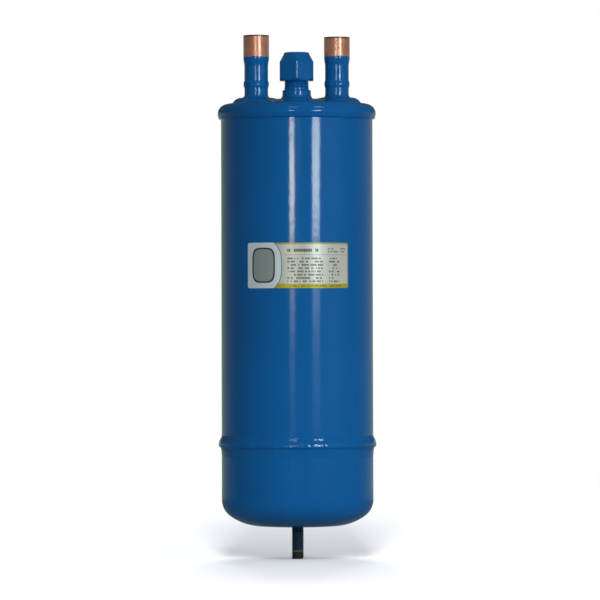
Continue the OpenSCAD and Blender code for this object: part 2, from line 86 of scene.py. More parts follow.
class Reach(Enum):
    """What a lamp lights, as the state of its link to the floor."""

    ALL = ""
    FLOOR = "INCLUDE"
    OBJECT = "EXCLUDE"


def paint_colour(red: int, green: int, blue: int) -> Colour:
    """Turn a screen colour into the linear colour that sockets take.

    Args:
        red: red from 0 to 255.
        green: green from 0 to 255.
        blue: blue from 0 to 255.

    Returns:
        The linear colour with full alpha.
    """
    share = np.array([red, green, blue]) / 255.0
    linear = np.where(share <= 0.04045, share / 12.92, ((share + 0.055) / 1.055) ** 2.4)
    return (float(linear[0]), float(linear[1]), float(linear[2]), 1.0)


def arc(centre: tuple[float, float], radius: float, start: float, stop: float, steps: int) -> Array:
    """Points of an arc: centre + radius (cos a, sin a), with a even from start to stop.

    Args:
        centre: the arc's centre as radius and height.
        radius: the arc's radius.
        start: first angle in degrees.
        stop: last angle in degrees.
        steps: number of equal steps.

    Returns:
        The points, one row each.
    """
    a = np.radians(np.linspace(start, stop, steps + 1))
    return np.column_stack((centre[0] + radius * np.cos(a), centre[1] + radius * np.sin(a)))


def rounded(corners: Sequence[tuple[float, float, float]], steps: int = 5) -> Array:
    """Closed profile whose corners are turned into arcs tangent to both their edges.

    The arc of radius q at a corner with half angle h starts q / tan h from the corner on each edge,
    and its centre lies q / sin h along the bisector. A further point 1.5 q out on each edge keeps
    the shading of the edge flat. An arc takes at most 0.45 of an edge, and the further point 0.48.

    Args:
        corners: radius, height and rounding of each corner, counter-clockwise.
        steps: steps of each arc.

    Returns:
        The profile's points, one row each.
    """
    points: list[Array] = []
    for i, (r, z, q) in enumerate(corners):
        here = np.array([r, z])
        back = np.array(corners[i - 1][:2]) - here
        ahead = np.array(corners[(i + 1) % len(corners)][:2]) - here
        if q <= 0.0:
            points.append(here[None, :])
            continue
        back_l, ahead_l = np.linalg.norm(back), np.linalg.norm(ahead)
        back, ahead = back / back_l, ahead / ahead_l
        half = 0.5 * math.acos(float(np.clip(back @ ahead, -1.0, 1.0)))
        run = min(q / math.tan(half), 0.45 * back_l, 0.45 * ahead_l)
        q = run * math.tan(half)
        bisector = (back + ahead) / np.linalg.norm(back + ahead)
        centre = here + bisector * q / math.sin(half)
        first, last = here + back * run - centre, here + ahead * run - centre
        sweep = np.arctan2(first[0] * last[1] - first[1] * last[0], first @ last)
        a = math.atan2(first[1], first[0]) + sweep * np.linspace(0.0, 1.0, steps + 1)
        curve = centre + q * np.column_stack((np.cos(a), np.sin(a)))
        lead = here + back * min(run + 1.5 * q, 0.48 * back_l)
        tail = here + ahead * min(run + 1.5 * q, 0.48 * ahead_l)
        points += [lead[None, :], curve, tail[None, :]]
    return np.vstack(points)


def round_steps(count: int) -> Array:
    """Angles of equal steps once round, from 0, in radians."""
    return TURN * np.arange(count) / count


def half_wave(count: int, rest: int) -> Array:
    """Column that is half a sine over a profile's first points and nought over the rest."""
    return np.concatenate((np.sin(np.linspace(0.0, math.pi, count)), np.zeros(rest)))[:, None]


def waver(angle: Array, seed: int, lowest: int, highest: int, terms: int) -> Array:
    """Sum of sines of whole numbers of waves round a circle, with seeded phases, scaled to about one.

    Args:
        angle: angles in radians, of any shape.
        seed: seed of the draw.
        lowest: fewest waves round the circle.
        highest: most waves round the circle.
        terms: number of sines.

    Returns:
        The sum at each angle.
    """
    draw = np.random.default_rng(seed)
    waves = draw.integers(lowest, highest + 1, terms)
    phases = draw.uniform(0.0, TURN, terms)
    total = np.sin(angle[..., None] * waves + phases).sum(axis=-1)
    return total / math.sqrt(terms)


def smooth_max(a: Array, b: Array, width: float) -> Array:
    """Greater of two surfaces, with their crease filled by a parabola of the given width."""
    h = np.clip(width - np.abs(a - b), 0.0, None) / width
    return np.maximum(a, b) + 0.25 * width * h * h


def grid_quads(rows: int, columns: int, close_rows: bool, close_columns: bool) -> Array:
    """Corner numbers of the quads of a grid whose points are counted row by row.

    Args:
        rows: rows of points.
        columns: columns of points.
        close_rows: whether the last row joins the first.
        close_columns: whether the last column joins the first.

    Returns:
        One row of four numbers per quad.
    """
    i = np.arange(rows if close_rows else rows - 1)
    j = np.arange(columns if close_columns else columns - 1)
    i, j = np.meshgrid(i, j, indexing="ij")
    row, next_row, beside = i * columns, (i + 1) % rows * columns, (j + 1) % columns
    return np.stack((row + j, row + beside, next_row + beside, next_row + j), axis=-1).reshape(-1, 4)


def make_piece(name: str, points: Array, faces: Array, sharp: float = 40.0) -> bpy.types.Object:
    """Put points and faces into a smooth-shaded mesh object at the origin.

    A fan at a pole is a quad with a repeated corner, which is written as a triangle. The signed volume,
    a sixth of the sum of p0 . (p1 x p2) over the triangles, says whether the faces point outwards.

    Args:
        name: name of the piece.
        points: one row of X, Y and Z in millimetres per point.
        faces: one row of four corner numbers per face.
        sharp: angle in degrees above which an edge stays sharp.

    Returns:
        The new object, linked to the scene.
    """
    used, faces = np.unique(faces, return_inverse=True)
    faces, points = faces.reshape(-1, 4), points[used] * MM
    p = points[faces]
    volume = np.einsum("ij,ij->i", p[:, 0], np.cross(p[:, 1], p[:, 2])).sum()
    volume += np.einsum("ij,ij->i", p[:, 0], np.cross(p[:, 2], p[:, 3])).sum()
    if volume < 0.0:
        faces = faces[:, ::-1]
    fans = (faces == np.roll(faces, -1, axis=1)).any(axis=1)
    triangles = faces[fans]
    repeats = triangles == np.roll(triangles, -1, axis=1)
    corners = triangles[~repeats].reshape(-1, 3)
    mesh = bpy.data.meshes.new(name)
    mesh.from_pydata(points.tolist(), [], faces[~fans].tolist() + corners.tolist())
    mesh.polygons.foreach_set("use_smooth", np.ones(len(mesh.polygons), dtype=bool))
    mesh.set_sharp_from_angle(angle=math.radians(sharp))
    mesh.validate()
    piece = bpy.data.objects.new(name, mesh)
    bpy.context.scene.collection.objects.link(piece)
    return piece


def revolve(name: str, profile: Array, segments: int, centre: tuple[float, float] = (0.0, 0.0),
            push: Array | None = None, poles: bool = False, sharp: float = 40.0) -> bpy.types.Object:
    """Turn a profile about an upright axis: x = cx + (r + push) cos a, y = cy + (r + push) sin a, z = z.

    Args:
        name: name of the piece.
        profile: radius and height of each point, counter-clockwise round the solid.
        segments: steps round the axis.
        centre: X and Y of the axis.
        push: extra radius of each profile point at each step, or nothing.
        poles: whether the profile starts and ends on the axis instead of closing on itself.
        sharp: angle in degrees above which an edge stays sharp.

    Returns:
        The new object.
    """
    a = round_steps(segments)
    r = profile[:, 0:1] + (np.zeros((len(profile), segments)) if push is None else push)
    z = np.broadcast_to(profile[:, 1:2], r.shape)
    points = np.stack((centre[0] + r * np.cos(a), centre[1] + r * np.sin(a), z), axis=-1).reshape(-1, 3)
    faces = grid_quads(len(profile), segments, not poles, True)
    if poles:
        last = (len(profile) - 1) * segments
        faces = np.where(faces < segments, 0, faces)
        faces = np.where(faces >= last, last, faces)
    return make_piece(name, points, faces, sharp)


def thick_sheet(name: str, outer: Array, inner: Array, keep: Array, wrap: bool,
                sharp: float = 40.0) -> tuple[bpy.types.Object, Array]:
    """Close two grids of equal shape into one sheet, with walls along every open edge.

    Args:
        name: name of the piece.
        outer: rows by columns by three, the outside.
        inner: the same for the inside.
        keep: which quads of the grid are there.
        wrap: whether the last column joins the first.
        sharp: angle in degrees above which an edge stays sharp.

    Returns:
        The new object and the grid numbers of its points, outside first.
    """
    rows, columns = outer.shape[:2]
    count = rows * columns
    front = grid_quads(rows, columns, False, wrap)[keep.ravel()]
    edges = np.stack((front, np.roll(front, -1, axis=1)), axis=-1).reshape(-1, 2)
    lone = edges[~np.isin(edges[:, 0] * count + edges[:, 1], edges[:, 1] * count + edges[:, 0])]
    walls = np.column_stack((lone[:, 1], lone[:, 0], lone[:, 0] + count, lone[:, 1] + count))
    faces = np.vstack((front, front[:, ::-1] + count, walls))
    points = np.vstack((outer.reshape(-1, 3), inner.reshape(-1, 3)))
    return make_piece(name, points, faces, sharp), np.unique(faces)


class Graph:
    """Short hand for laying and joining nodes in one node tree."""

    def __init__(self, tree: bpy.types.NodeTree) -> None:
        """Take the tree that the nodes go into."""
        self.tree = tree

    @classmethod
    def of(cls, owner: bpy.types.ID) -> "Graph":
        """Clear the node tree of a material or a world for new nodes.

        Args:
            owner: the material or the world.

        Returns:
            The graph of its tree.
        """
        owner.use_nodes = True
        owner.node_tree.nodes.clear()
        return cls(owner.node_tree)

    def feed(self, socket: Socket, value: Socket | float | Sequence[float]) -> None:
        """Link a socket to another one, or set its own value.

        Args:
            socket: the input.
            value: the output that it is linked to, or its value.
        """
        if isinstance(value, bpy.types.NodeSocket):
            self.tree.links.new(value, socket)
        else:
            socket.default_value = value

    def fill(self, node: bpy.types.Node, values: dict[str | int, object]) -> None:
        """Feed each named or numbered input of a node."""
        for name, value in values.items():
            self.feed(node.inputs[name], value)

    def add(self, kind: str, values: dict[str | int, object] | None = None,
            **settings: object) -> bpy.types.Node:
        """Lay one node.

        Args:
            kind: type name of the node.
            values: value or source of each named or numbered input.
            **settings: properties of the node itself.

        Returns:
            The node.
        """
        node = self.tree.nodes.new(kind)
        for name, setting in settings.items():
            setattr(node, name, setting)
        self.fill(node, values or {})
        return node

    def math(self, operation: str, a: Socket | float, b: Socket | float = 0.0, clamp: bool = False) -> Socket:
        """Result of one Math node on two values."""
        return self.add("ShaderNodeMath", {0: a, 1: b}, operation=operation, use_clamp=clamp).outputs[0]

    def blend(self, factor: Socket | float, a: Socket | Colour, b: Socket | Colour,
              how: str = "MIX") -> Socket:
        """Result of mixing two colours."""
        node = self.add("ShaderNodeMix", {0: factor, 6: a, 7: b}, data_type="RGBA", blend_type=how)
        return node.outputs[2]

    def level(self, factor: Socket, low: float, high: float) -> Socket:
        """Value that runs from low to high as the factor runs from 0 to 1."""
        return self.add("ShaderNodeMapRange", {0: factor, 3: low, 4: high}).outputs[0]

    def step(self, value: Socket, start: float, stop: float) -> Socket:
        """Smooth step from 0 at start to 1 at stop."""
        node = self.add("ShaderNodeMapRange", {0: value, 1: start, 2: stop}, interpolation_type="SMOOTHSTEP")
        return node.outputs[0]

    def noise(self, place: Socket, scale: Socket | float, detail: float = 2.0) -> Socket:
        """Plain noise from 0 to 1."""
        return self.add("ShaderNodeTexNoise", {"Vector": place, "Scale": scale, "Detail": detail}).outputs[0]

    def axes(self, place: Socket) -> tuple[Socket, Socket, Socket]:
        """The three parts of a vector."""
        parts = self.add("ShaderNodeSeparateXYZ", {0: place}).outputs
        return parts[0], parts[1], parts[2]

    def scaled(self, place: Socket, factors: tuple[float, float, float]) -> Socket:
        """A vector with each part multiplied by a factor of its own."""
        return self.add("ShaderNodeVectorMath", {0: place, 1: factors}, operation="MULTIPLY").outputs[0]

    def effect(self, group: bpy.types.NodeTree, values: dict[str, object]) -> Socket:
        """Place an effect's group and give its first output."""
        return self.add("ShaderNodeGroup", values, node_tree=group).outputs[0]


class Effects:
    """Node groups that several finishes share, each built once."""

    def __init__(self) -> None:
        """Build every group."""
        self.peel = self._peel()
        self.tone = self._tone()
        self.dust = self._dust()
        self.coat_edge = self._coat_edge()
        self.drawn = self._drawn()
        self.bar = self._bar()
        self.words = self._words()

    @staticmethod
    def _start(name: str, output: str, kind: str, **inputs: str) -> tuple[Graph, dict[str, Socket], Socket]:
        """Begin a group with a Place vector, further inputs and one output.

        Args:
            name: name of the group.
            output: name of the output.
            kind: socket type of the output.
            **inputs: socket type of each further input.

        Returns:
            The group's graph, its inputs by name and the socket that takes its result.
        """
        tree = bpy.data.node_groups.new(name, "ShaderNodeTree")
        for label, socket_type in {"Place": VECTOR, **inputs}.items():
            tree.interface.new_socket(name=label, in_out="INPUT", socket_type=socket_type)
        tree.interface.new_socket(name=output, in_out="OUTPUT", socket_type=kind)
        graph = Graph(tree)
        entry, leave = graph.add("NodeGroupInput"), graph.add("NodeGroupOutput")
        return graph, {socket.name: socket for socket in entry.outputs if socket.name}, leave.inputs[0]

    def _peel(self) -> bpy.types.NodeTree:
        """Height of sprayed enamel: slow skin waves with fine orange peel on them.

        Returns:
            The group.
        """
        slow_scale, fine_height = 0.22, 0.35
        g, given, result = self._start("orange_peel", "Height", FLOAT, Scale=FLOAT)
        fine = g.noise(given["Place"], given["Scale"], detail=1.0)
        slow = g.noise(given["Place"], g.math("MULTIPLY", given["Scale"], slow_scale), detail=1.0)
        g.feed(result, g.math("ADD", g.math("MULTIPLY", fine, fine_height), slow))
        return g.tree

    def _tone(self) -> bpy.types.NodeTree:
        """Colour that drifts between two close tones in soft patches.

        Returns:
            The group.
        """
        patch_edge = (0.3, 0.7)
        g, given, result = self._start("uneven_tone", "Colour", COLOUR,
                                       Colour=COLOUR, Second=COLOUR, Scale=FLOAT)
        patch = g.step(g.noise(given["Place"], given["Scale"], detail=3.0), *patch_edge)
        g.feed(result, g.blend(patch, given["Colour"], given["Second"]))
        return g.tree

    def _dust(self) -> bpy.types.NodeTree:
        """Mask of thin dust on faces that look up.

        Returns:
            The group.
        """
        speck_scale, speck_edge, slope = 900.0, (0.45, 0.75), (0.35, 1.0)
        g, given, result = self._start("settled_dust", "Mask", FLOAT, Amount=FLOAT)
        up = g.axes(g.add("ShaderNodeNewGeometry").outputs["Normal"])[2]
        speck = g.step(g.noise(given["Place"], speck_scale, detail=4.0), *speck_edge)
        lying = g.math("MULTIPLY", g.step(up, *slope), speck)
        g.feed(result, g.math("MULTIPLY", lying, given["Amount"], clamp=True))
        return g.tree

    def _coat_edge(self) -> bpy.types.NodeTree:
        """Mask of a coat that covers what lies below a level, with an edge that wanders.

        Returns:
            The group.
        """
        wander_scale = 260.0
        g, given, result = self._start("coat_edge", "Mask", FLOAT, Level=FLOAT, Waver=FLOAT, Softness=FLOAT)
        height = g.axes(given["Place"])[2]
        wander = g.math("SUBTRACT", g.noise(given["Place"], wander_scale, detail=4.0), 0.5)
        level = g.math("ADD", given["Level"], g.math("MULTIPLY", wander, given["Waver"]))
        depth = g.math("SUBTRACT", level, height)
        g.feed(result, g.math("ADD", g.math("DIVIDE", depth, given["Softness"]), 0.5, clamp=True))
        return g.tree

    def _drawn(self) -> bpy.types.NodeTree:
        """Fine streaks along Z, as drawing or rolling leaves them on metal.

        Returns:
            The group.
        """
        stretch = 0.04
        g, given, result = self._start("drawn_lines", "Value", FLOAT, Scale=FLOAT)
        x, y, z = g.axes(given["Place"])
        long = g.add("ShaderNodeCombineXYZ", {0: x, 1: y, 2: g.math("MULTIPLY", z, stretch)}).outputs[0]
        g.feed(result, g.noise(long, given["Scale"], detail=3.0))
        return g.tree

    def _bar(self) -> bpy.types.NodeTree:
        """Mask of a printed bar between four edges, in the label's own millimetres.

        Returns:
            The group.
        """
        g, given, result = self._start("printed_bar", "Mask", FLOAT,
                                       Left=FLOAT, Right=FLOAT, Low=FLOAT, High=FLOAT)
        x, y, _ = g.axes(given["Place"])
        masks = []
        for value, first, last in ((x, "Left", "Right"), (y, "Low", "High")):
            past = g.math("GREATER_THAN", value, given[first])
            masks.append(g.math("MULTIPLY", past, g.math("LESS_THAN", value, given[last])))
        g.feed(result, g.math("MULTIPLY", *masks))
        return g.tree

    def _words(self) -> bpy.types.NodeTree:
        """Mask of rows of short strokes of uneven length, in the label's own millimetres.

        Returns:
            The group.
        """
        row_share, stroke_share, gap_level, word_scale = 0.52, 0.78, 0.42, (0.37, 7.3, 1.0)
        g, given, result = self._start("printed_words", "Mask", FLOAT,
                                       Pitch=FLOAT, Start=FLOAT, Stroke=FLOAT, Fill=FLOAT)
        x, y, _ = g.axes(given["Place"])
        line = g.math("DIVIDE", g.math("SUBTRACT", y, given["Start"]), given["Pitch"])
        cell = g.math("DIVIDE", x, given["Stroke"])
        spot = g.add("ShaderNodeCombineXYZ", {0: g.math("FLOOR", cell), 1: g.math("FLOOR", line)}).outputs[0]
        chance = g.add("ShaderNodeTexWhiteNoise", {"Vector": spot}, noise_dimensions="3D").outputs[0]
        word = g.noise(g.scaled(spot, word_scale), 1.0, detail=0.0)
        in_row = g.math("MULTIPLY", g.math("LESS_THAN", g.math("FRACT", line), row_share),
                        g.math("LESS_THAN", g.math("FRACT", cell), stroke_share))
        inked = g.math("MULTIPLY", g.math("LESS_THAN", chance, given["Fill"]),
                       g.math("GREATER_THAN", word, gap_level))
        g.feed(result, g.math("MULTIPLY", in_row, inked))
        return g.tree


class Finish:
    """A finish makes one procedural material around a Principled shader."""

    def start(self, name: str) -> tuple[Graph, bpy.types.Node, Socket]:
        """Begin a material.

        Args:
            name: name of the material.

        Returns:
            The material's graph, its Principled shader and the Object coordinates.
        """
        self.material = bpy.data.materials.new(name)
        graph = Graph.of(self.material)
        shader = graph.add("ShaderNodeBsdfPrincipled")
        graph.add("ShaderNodeOutputMaterial", {"Surface": shader.outputs[0]})
        return graph, shader, graph.add("ShaderNodeTexCoord").outputs["Object"]

    @staticmethod
    def bump(g: Graph, height: Socket, strength: float, distance: float) -> Socket:
        """Normal of a height, in metres of distance."""
        values = {"Height": height, "Strength": strength, "Distance": distance}
        return g.add("ShaderNodeBump", values).outputs[0]

    @staticmethod
    def two_tone(g: Graph, effects: Effects, place: Socket, tones: tuple[Colour, Colour],
                 scale: float) -> Socket:
        """Colour that drifts between two tones in patches of the given scale."""
        values = {"Place": place, "Colour": tones[0], "Second": tones[1], "Scale": scale}
        return g.effect(effects.tone, values)

    @staticmethod
    def coat(g: Graph, effects: Effects, place: Socket, level: float, wander: float,
             softness: float) -> Socket:
        """Mask of a coat below a level, with the wander and the softness of its edge, all in metres."""
        values = {"Place": place, "Level": level, "Waver": wander, "Softness": softness}
        return g.effect(effects.coat_edge, values)


@dataclass(frozen=True)
class Enamel:
    """Sprayed blue enamel, the same on the vessel and wherever it laps over copper."""

    tones: tuple[Colour, Colour] = (paint_colour(7, 80, 139), paint_colour(6, 76, 133))
    tone_scale: float = 14.0
    dust_colour: Colour = paint_colour(96, 120, 146)
    dust_amount: float = 0.10
    peel_scale: float = 420.0
    peel_strength: float = 0.07
    peel_depth: float = 0.0008
    gloss: tuple[float, float] = (0.085, 0.125)
    gloss_scale: float = 30.0

    def colour(self, g: Graph, place: Socket, effects: Effects) -> Socket:
        """Colour of the enamel with its drift of tone and a trace of dust.

        Args:
            g: the material's graph.
            place: the Object coordinates.
            effects: shared node groups.

        Returns:
            The colour.
        """
        tone = Finish.two_tone(g, effects, place, self.tones, self.tone_scale)
        dust = g.effect(effects.dust, {"Place": place, "Amount": self.dust_amount})
        return g.blend(dust, tone, self.dust_colour)

    def roughness(self, g: Graph, place: Socket) -> Socket:
        """Roughness that drifts a little over the surface."""
        return g.level(g.noise(place, self.gloss_scale), *self.gloss)


class EnamelFinish(Finish):
    """Material of the painted steel."""

    def __init__(self, enamel: Enamel, effects: Effects) -> None:
        """Build the material.

        Args:
            enamel: the enamel's values.
            effects: shared node groups.
        """
        g, shader, place = self.start("blue_enamel")
        peel = g.effect(effects.peel, {"Place": place, "Scale": enamel.peel_scale})
        g.fill(shader, {"Base Color": enamel.colour(g, place, effects),
                        "Roughness": enamel.roughness(g, place),
                        "Normal": self.bump(g, peel, enamel.peel_strength, enamel.peel_depth)})


class CopperFinish(Finish):
    """Material of a copper stub: enamel up to a wandering line, bare drawn copper above it, and painted shade
    darkening its top edge.
    """

    tones: tuple[Colour, Colour] = (paint_colour(244, 170, 138), paint_colour(230, 150, 118))
    tone_scale: float = 120.0
    streak: Colour = paint_colour(170, 106, 84)
    streak_scale: float = 2600.0
    streak_share: float = 0.3
    # Painted shade at the stub's top edge: its dark brown colour, how strongly it covers, and the depths
    # below the rim where it starts and where it is full.
    painted_rim_shade: Colour = paint_colour(60, 34, 28)
    painted_rim_shade_share: float = 0.9
    painted_rim_shade_depth: tuple[float, float] = (0.0013, 0.0006)
    line_waver: float = 0.0016
    line_softness: float = 0.0003
    metallic: float = 0.7
    gloss: tuple[float, float] = (0.26, 0.36)
    coat_roughness: float = 0.34
    coat_ior: float = 2.0
    peel_height: float = 0.5
    paint_height: float = 0.35

    def __init__(self, enamel: Enamel, effects: Effects, line: float, top: float, name: str) -> None:
        """Build the material.

        Args:
            enamel: the enamel below the line.
            effects: shared node groups.
            line: height of the paint's edge in metres.
            top: height of the stub's rim in metres.
            name: name of the material.
        """
        g, shader, place = self.start(name)
        coat = self.coat(g, effects, place, line, self.line_waver, self.line_softness)
        lines = g.effect(effects.drawn, {"Place": place, "Scale": self.streak_scale})
        metal = self.two_tone(g, effects, place, self.tones, self.tone_scale)
        metal = g.blend(g.math("MULTIPLY", lines, self.streak_share), metal, self.streak)
        # Painted shade: the last millimetre or so below the rim is darkened towards dark brown, standing in
        # for the shade at the tube's edge.
        rim = g.step(g.axes(place)[2], top - self.painted_rim_shade_depth[0], top - self.painted_rim_shade_depth[1])
        metal = g.blend(g.math("MULTIPLY", rim, self.painted_rim_shade_share), metal, self.painted_rim_shade)
        bare = g.math("SUBTRACT", 1.0, coat)
        gloss = g.level(lines, *self.gloss)
        rough = g.add("ShaderNodeMix", {0: coat, 2: gloss, 3: enamel.roughness(g, place)}, data_type="FLOAT")
        peel = g.effect(effects.peel, {"Place": place, "Scale": enamel.peel_scale})
        height = g.math("ADD", g.math("MULTIPLY", peel, self.peel_height),
                        g.math("MULTIPLY", coat, self.paint_height))
        g.fill(shader, {"Base Color": g.blend(coat, metal, enamel.colour(g, place, effects)),
                        "Metallic": g.math("MULTIPLY", bare, self.metallic),
                        "Roughness": rough.outputs[0],
                        "Coat Weight": bare,
                        "Coat Roughness": self.coat_roughness,
                        "Coat IOR": self.coat_ior,
                        "Normal": self.bump(g, height, enamel.peel_strength, enamel.peel_depth)})


class MetalFinish(Finish):
    """Material of a bare metal with drawn streaks and a soft change of tone."""

    tone_scale: float = 90.0
    streak_scale: float = 1800.0
    streak_share: float = 0.3
    streak_bump: tuple[float, float] = (0.06, 0.0004)

    def __init__(self, name: str, effects: Effects, tones: tuple[Screen, Screen],
                 gloss: tuple[float, float]) -> None:
        """Build the material.

        Args:
            name: name of the material.
            effects: shared node groups.
            tones: the lighter and the darker tone, as screen colours.
            gloss: least and most roughness.
        """
        g, shader, place = self.start(name)
        lines = g.effect(effects.drawn, {"Place": place, "Scale": self.streak_scale})
        bright, dull = (paint_colour(*tone) for tone in tones)
        tone = self.two_tone(g, effects, place, (bright, dull), self.tone_scale)
        g.fill(shader, {"Base Color": g.blend(g.math("MULTIPLY", lines, self.streak_share), tone, dull),
                        "Metallic": 1.0,
                        "Roughness": g.level(lines, *gloss),
                        "Normal": self.bump(g, lines, *self.streak_bump)})


class StudFinish(Finish):
    """Material of the stud: blackened thread under blue overspray, a pale ring, and a bare tip."""

    tip: tuple[Colour, Colour] = (paint_colour(58, 58, 52), paint_colour(44, 44, 40))
    tip_scale: float = 500.0
    tip_edge: tuple[float, float, float] = (-0.0164, 0.0012, 0.0005)
    tip_metallic: float = 0.45
    black: tuple[Colour, Colour] = (paint_colour(14, 44, 62), paint_colour(12, 34, 48))
    black_scale: float = 380.0
    spray: Colour = paint_colour(12, 56, 90)
    spray_share: float = 0.6
    spray_edge: tuple[float, float, float] = (-0.0032, 0.006, 0.007)
    ring: Colour = paint_colour(140, 138, 128)
    ring_share: float = 0.35
    ring_low: tuple[float, float] = (-0.0172, -0.0163)
    ring_high: tuple[float, float] = (-0.0162, -0.0153)
    grain_scale: float = 2200.0
    grain_bump: tuple[float, float] = (0.15, 0.0003)
    gloss: tuple[float, float] = (0.34, 0.62)

    def __init__(self, effects: Effects) -> None:
        """Build the material from its tones.

        Args:
            effects: shared node groups.
        """
        g, shader, place = self.start("stud_black")
        masked = self.coat(g, effects, place, *self.tip_edge)
        unsprayed = self.coat(g, effects, place, *self.spray_edge)
        tip = self.two_tone(g, effects, place, self.tip, self.tip_scale)
        black = self.two_tone(g, effects, place, self.black, self.black_scale)
        sprayed = g.math("MULTIPLY", g.math("SUBTRACT", 1.0, unsprayed), self.spray_share)
        body = g.blend(masked, g.blend(sprayed, black, self.spray), tip)
        height = g.axes(place)[2]
        ring = g.math("MULTIPLY", g.step(height, *self.ring_low),
                      g.math("SUBTRACT", 1.0, g.step(height, *self.ring_high)))
        grain = g.noise(place, self.grain_scale, detail=3.0)
        g.fill(shader, {"Base Color": g.blend(g.math("MULTIPLY", ring, self.ring_share), body, self.ring),
                        "Metallic": g.math("MULTIPLY", masked, self.tip_metallic),
                        "Roughness": g.level(grain, *self.gloss),
                        "Normal": self.bump(g, grain, *self.grain_bump)})


class LabelFinish(Finish):
    """Material of the foil label: silver ground, coloured bands and rows of plain print strokes.

    Edges of bands and rows are left, right, low and high in millimetres from the label's lower left
    corner. A band has its edges, tint, cover, and whether it ends at the left panel. Rows have their edges,
    their strokes, which are pitch, start, length and printed share, and their cover.
    """

    silver: tuple[Colour, Colour] = (paint_colour(198, 200, 192), paint_colour(184, 188, 180))
    silver_scale: float = 70.0
    panel: Colour = paint_colour(212, 226, 232)
    panel_edge: float = 24.9
    panel_bulge: float = 5.2
    bulge_power: float = 3.2
    line: Colour = paint_colour(28, 30, 32)
    line_share: float = 0.8
    line_half: float = 0.28
    olive: Colour = paint_colour(150, 150, 84)
    yellow: Colour = paint_colour(172, 166, 50)
    bands: tuple[tuple[Edges, Colour, float, bool], ...] = (
        ((20.0, 72.0, 28.9, 30.0), olive, 1.0, True),
        ((70.9, 72.0, 0.0, 30.0), olive, 0.8, False),
        ((20.0, 72.0, 0.0, 2.9), yellow, 1.0, True),
        ((27.5, 70.4, 21.75, 22.05), line, 0.55, False),
    )
    print_ink: Colour = paint_colour(40, 44, 46)
    print_rows: tuple[tuple[Edges, Strokes, float], ...] = (
        ((28.8, 50.4, 23.9, 26.1), (4.4, 23.6, 1.1, 0.98), 0.95),
        ((55.9, 69.4, 23.4, 27.2), (1.9, 23.45, 0.66, 0.85), 0.85),
        ((28.8, 52.5, 3.9, 21.0), (2.15, 3.9, 0.72, 0.9), 0.92),
        ((56.6, 64.4, 3.9, 21.0), (2.15, 3.9, 0.66, 0.8), 0.95),
        ((30.0, 66.0, 0.7, 2.0), (2.6, 0.75, 0.7, 0.9), 0.6),
    )
    plate_middle: tuple[float, float] = (12.1, 15.1)
    plate_frame: tuple[float, float] = (8.3, 11.6)
    plate_field: tuple[float, float] = (7.3, 10.6)
    plate_soft: tuple[float, float] = (0.95, 1.05)
    plate_dark: Colour = paint_colour(46, 56, 60)
    plate_grey: Colour = paint_colour(146, 158, 160)
    metallic: float = 0.45
    gloss: tuple[float, float] = (0.3, 0.4)
    gloss_scale: float = 300.0
    crinkle_scale: float = 240.0
    crinkle_bump: tuple[float, float] = (0.08, 0.0005)

    def __init__(self, effects: Effects, width: float, height: float) -> None:
        """Build the material.

        Args:
            effects: shared node groups.
            width: width of the label in millimetres.
            height: height of the label in millimetres.
        """
        self.effects = effects
        self.g, shader, place = self.start("label_foil")
        g = self.g
        self.at = g.scaled(g.add("ShaderNodeUVMap", uv_map="label").outputs[0], (width, height, 1.0))
        x, y, _ = g.axes(self.at)
        rise = g.math("ABSOLUTE", g.math("DIVIDE", g.math("SUBTRACT", y, height / 2), height / 2))
        bulge = g.math("MULTIPLY", g.math("POWER", rise, self.bulge_power), self.panel_bulge)
        edge = g.math("SUBTRACT", g.math("ADD", x, bulge), self.panel_edge)
        panel = g.math("LESS_THAN", edge, 0.0)
        right = g.math("SUBTRACT", 1.0, panel)
        silver = self.two_tone(g, effects, place, self.silver, self.silver_scale)
        colour = g.blend(panel, silver, self.panel)
        for edges, tint, amount, ends_at_panel in self.bands:
            colour = self.ink(colour, edges, tint, amount, right if ends_at_panel else None)
        outline = g.math("LESS_THAN", g.math("ABSOLUTE", edge), self.line_half)
        colour = g.blend(g.math("MULTIPLY", outline, self.line_share), colour, self.line)
        for edges, strokes, amount in self.print_rows:
            colour = self.rows(colour, edges, strokes, amount)
        colour = g.blend(self.plate(x, y, self.plate_frame), colour, self.plate_dark)
        colour = g.blend(self.plate(x, y, self.plate_field), colour, self.plate_grey)
        crinkle = g.noise(place, self.crinkle_scale, detail=1.0)
        g.fill(shader, {"Base Color": colour,
                        "Metallic": self.metallic,
                        "Roughness": g.level(g.noise(place, self.gloss_scale), *self.gloss),
                        "Normal": self.bump(g, crinkle, *self.crinkle_bump)})

    def plate(self, x: Socket, y: Socket, halves: tuple[float, float]) -> Socket:
        """Mask of the plain plate, the inside of (x / a)4 + (y / b)4 = 1 about the plate's middle.

        Args:
            x: millimetres from the label's left edge.
            y: millimetres from its lower edge.
            halves: a and b, half the width and half the height.

        Returns:
            The mask.
        """
        g = self.g
        parts = []
        for value, middle, half in zip((x, y), self.plate_middle, halves):
            share = g.math("DIVIDE", g.math("SUBTRACT", value, middle), half)
            parts.append(g.math("POWER", g.math("ABSOLUTE", share), 4.0))
        return g.math("SUBTRACT", 1.0, g.step(g.math("ADD", *parts), *self.plate_soft))

    def box(self, edges: Edges) -> Socket:
        """Mask of a printed bar from its left, right, low and high edge."""
        values = dict(zip(("Place", "Left", "Right", "Low", "High"), (self.at, *edges)))
        return self.g.effect(self.effects.bar, values)

    def ink(self, colour: Socket, edges: Edges, tint: Colour, amount: float,
            only: Socket | None = None) -> Socket:
        """Print one bar.

        Args:
            colour: the label's colour so far.
            edges: the bar's edges.
            tint: colour of the ink.
            amount: how well the ink covers.
            only: further mask of where the bar shows, or none.

        Returns:
            The new colour.
        """
        mask = self.box(edges) if only is None else self.g.math("MULTIPLY", self.box(edges), only)
        return self.g.blend(self.g.math("MULTIPLY", mask, amount), colour, tint)

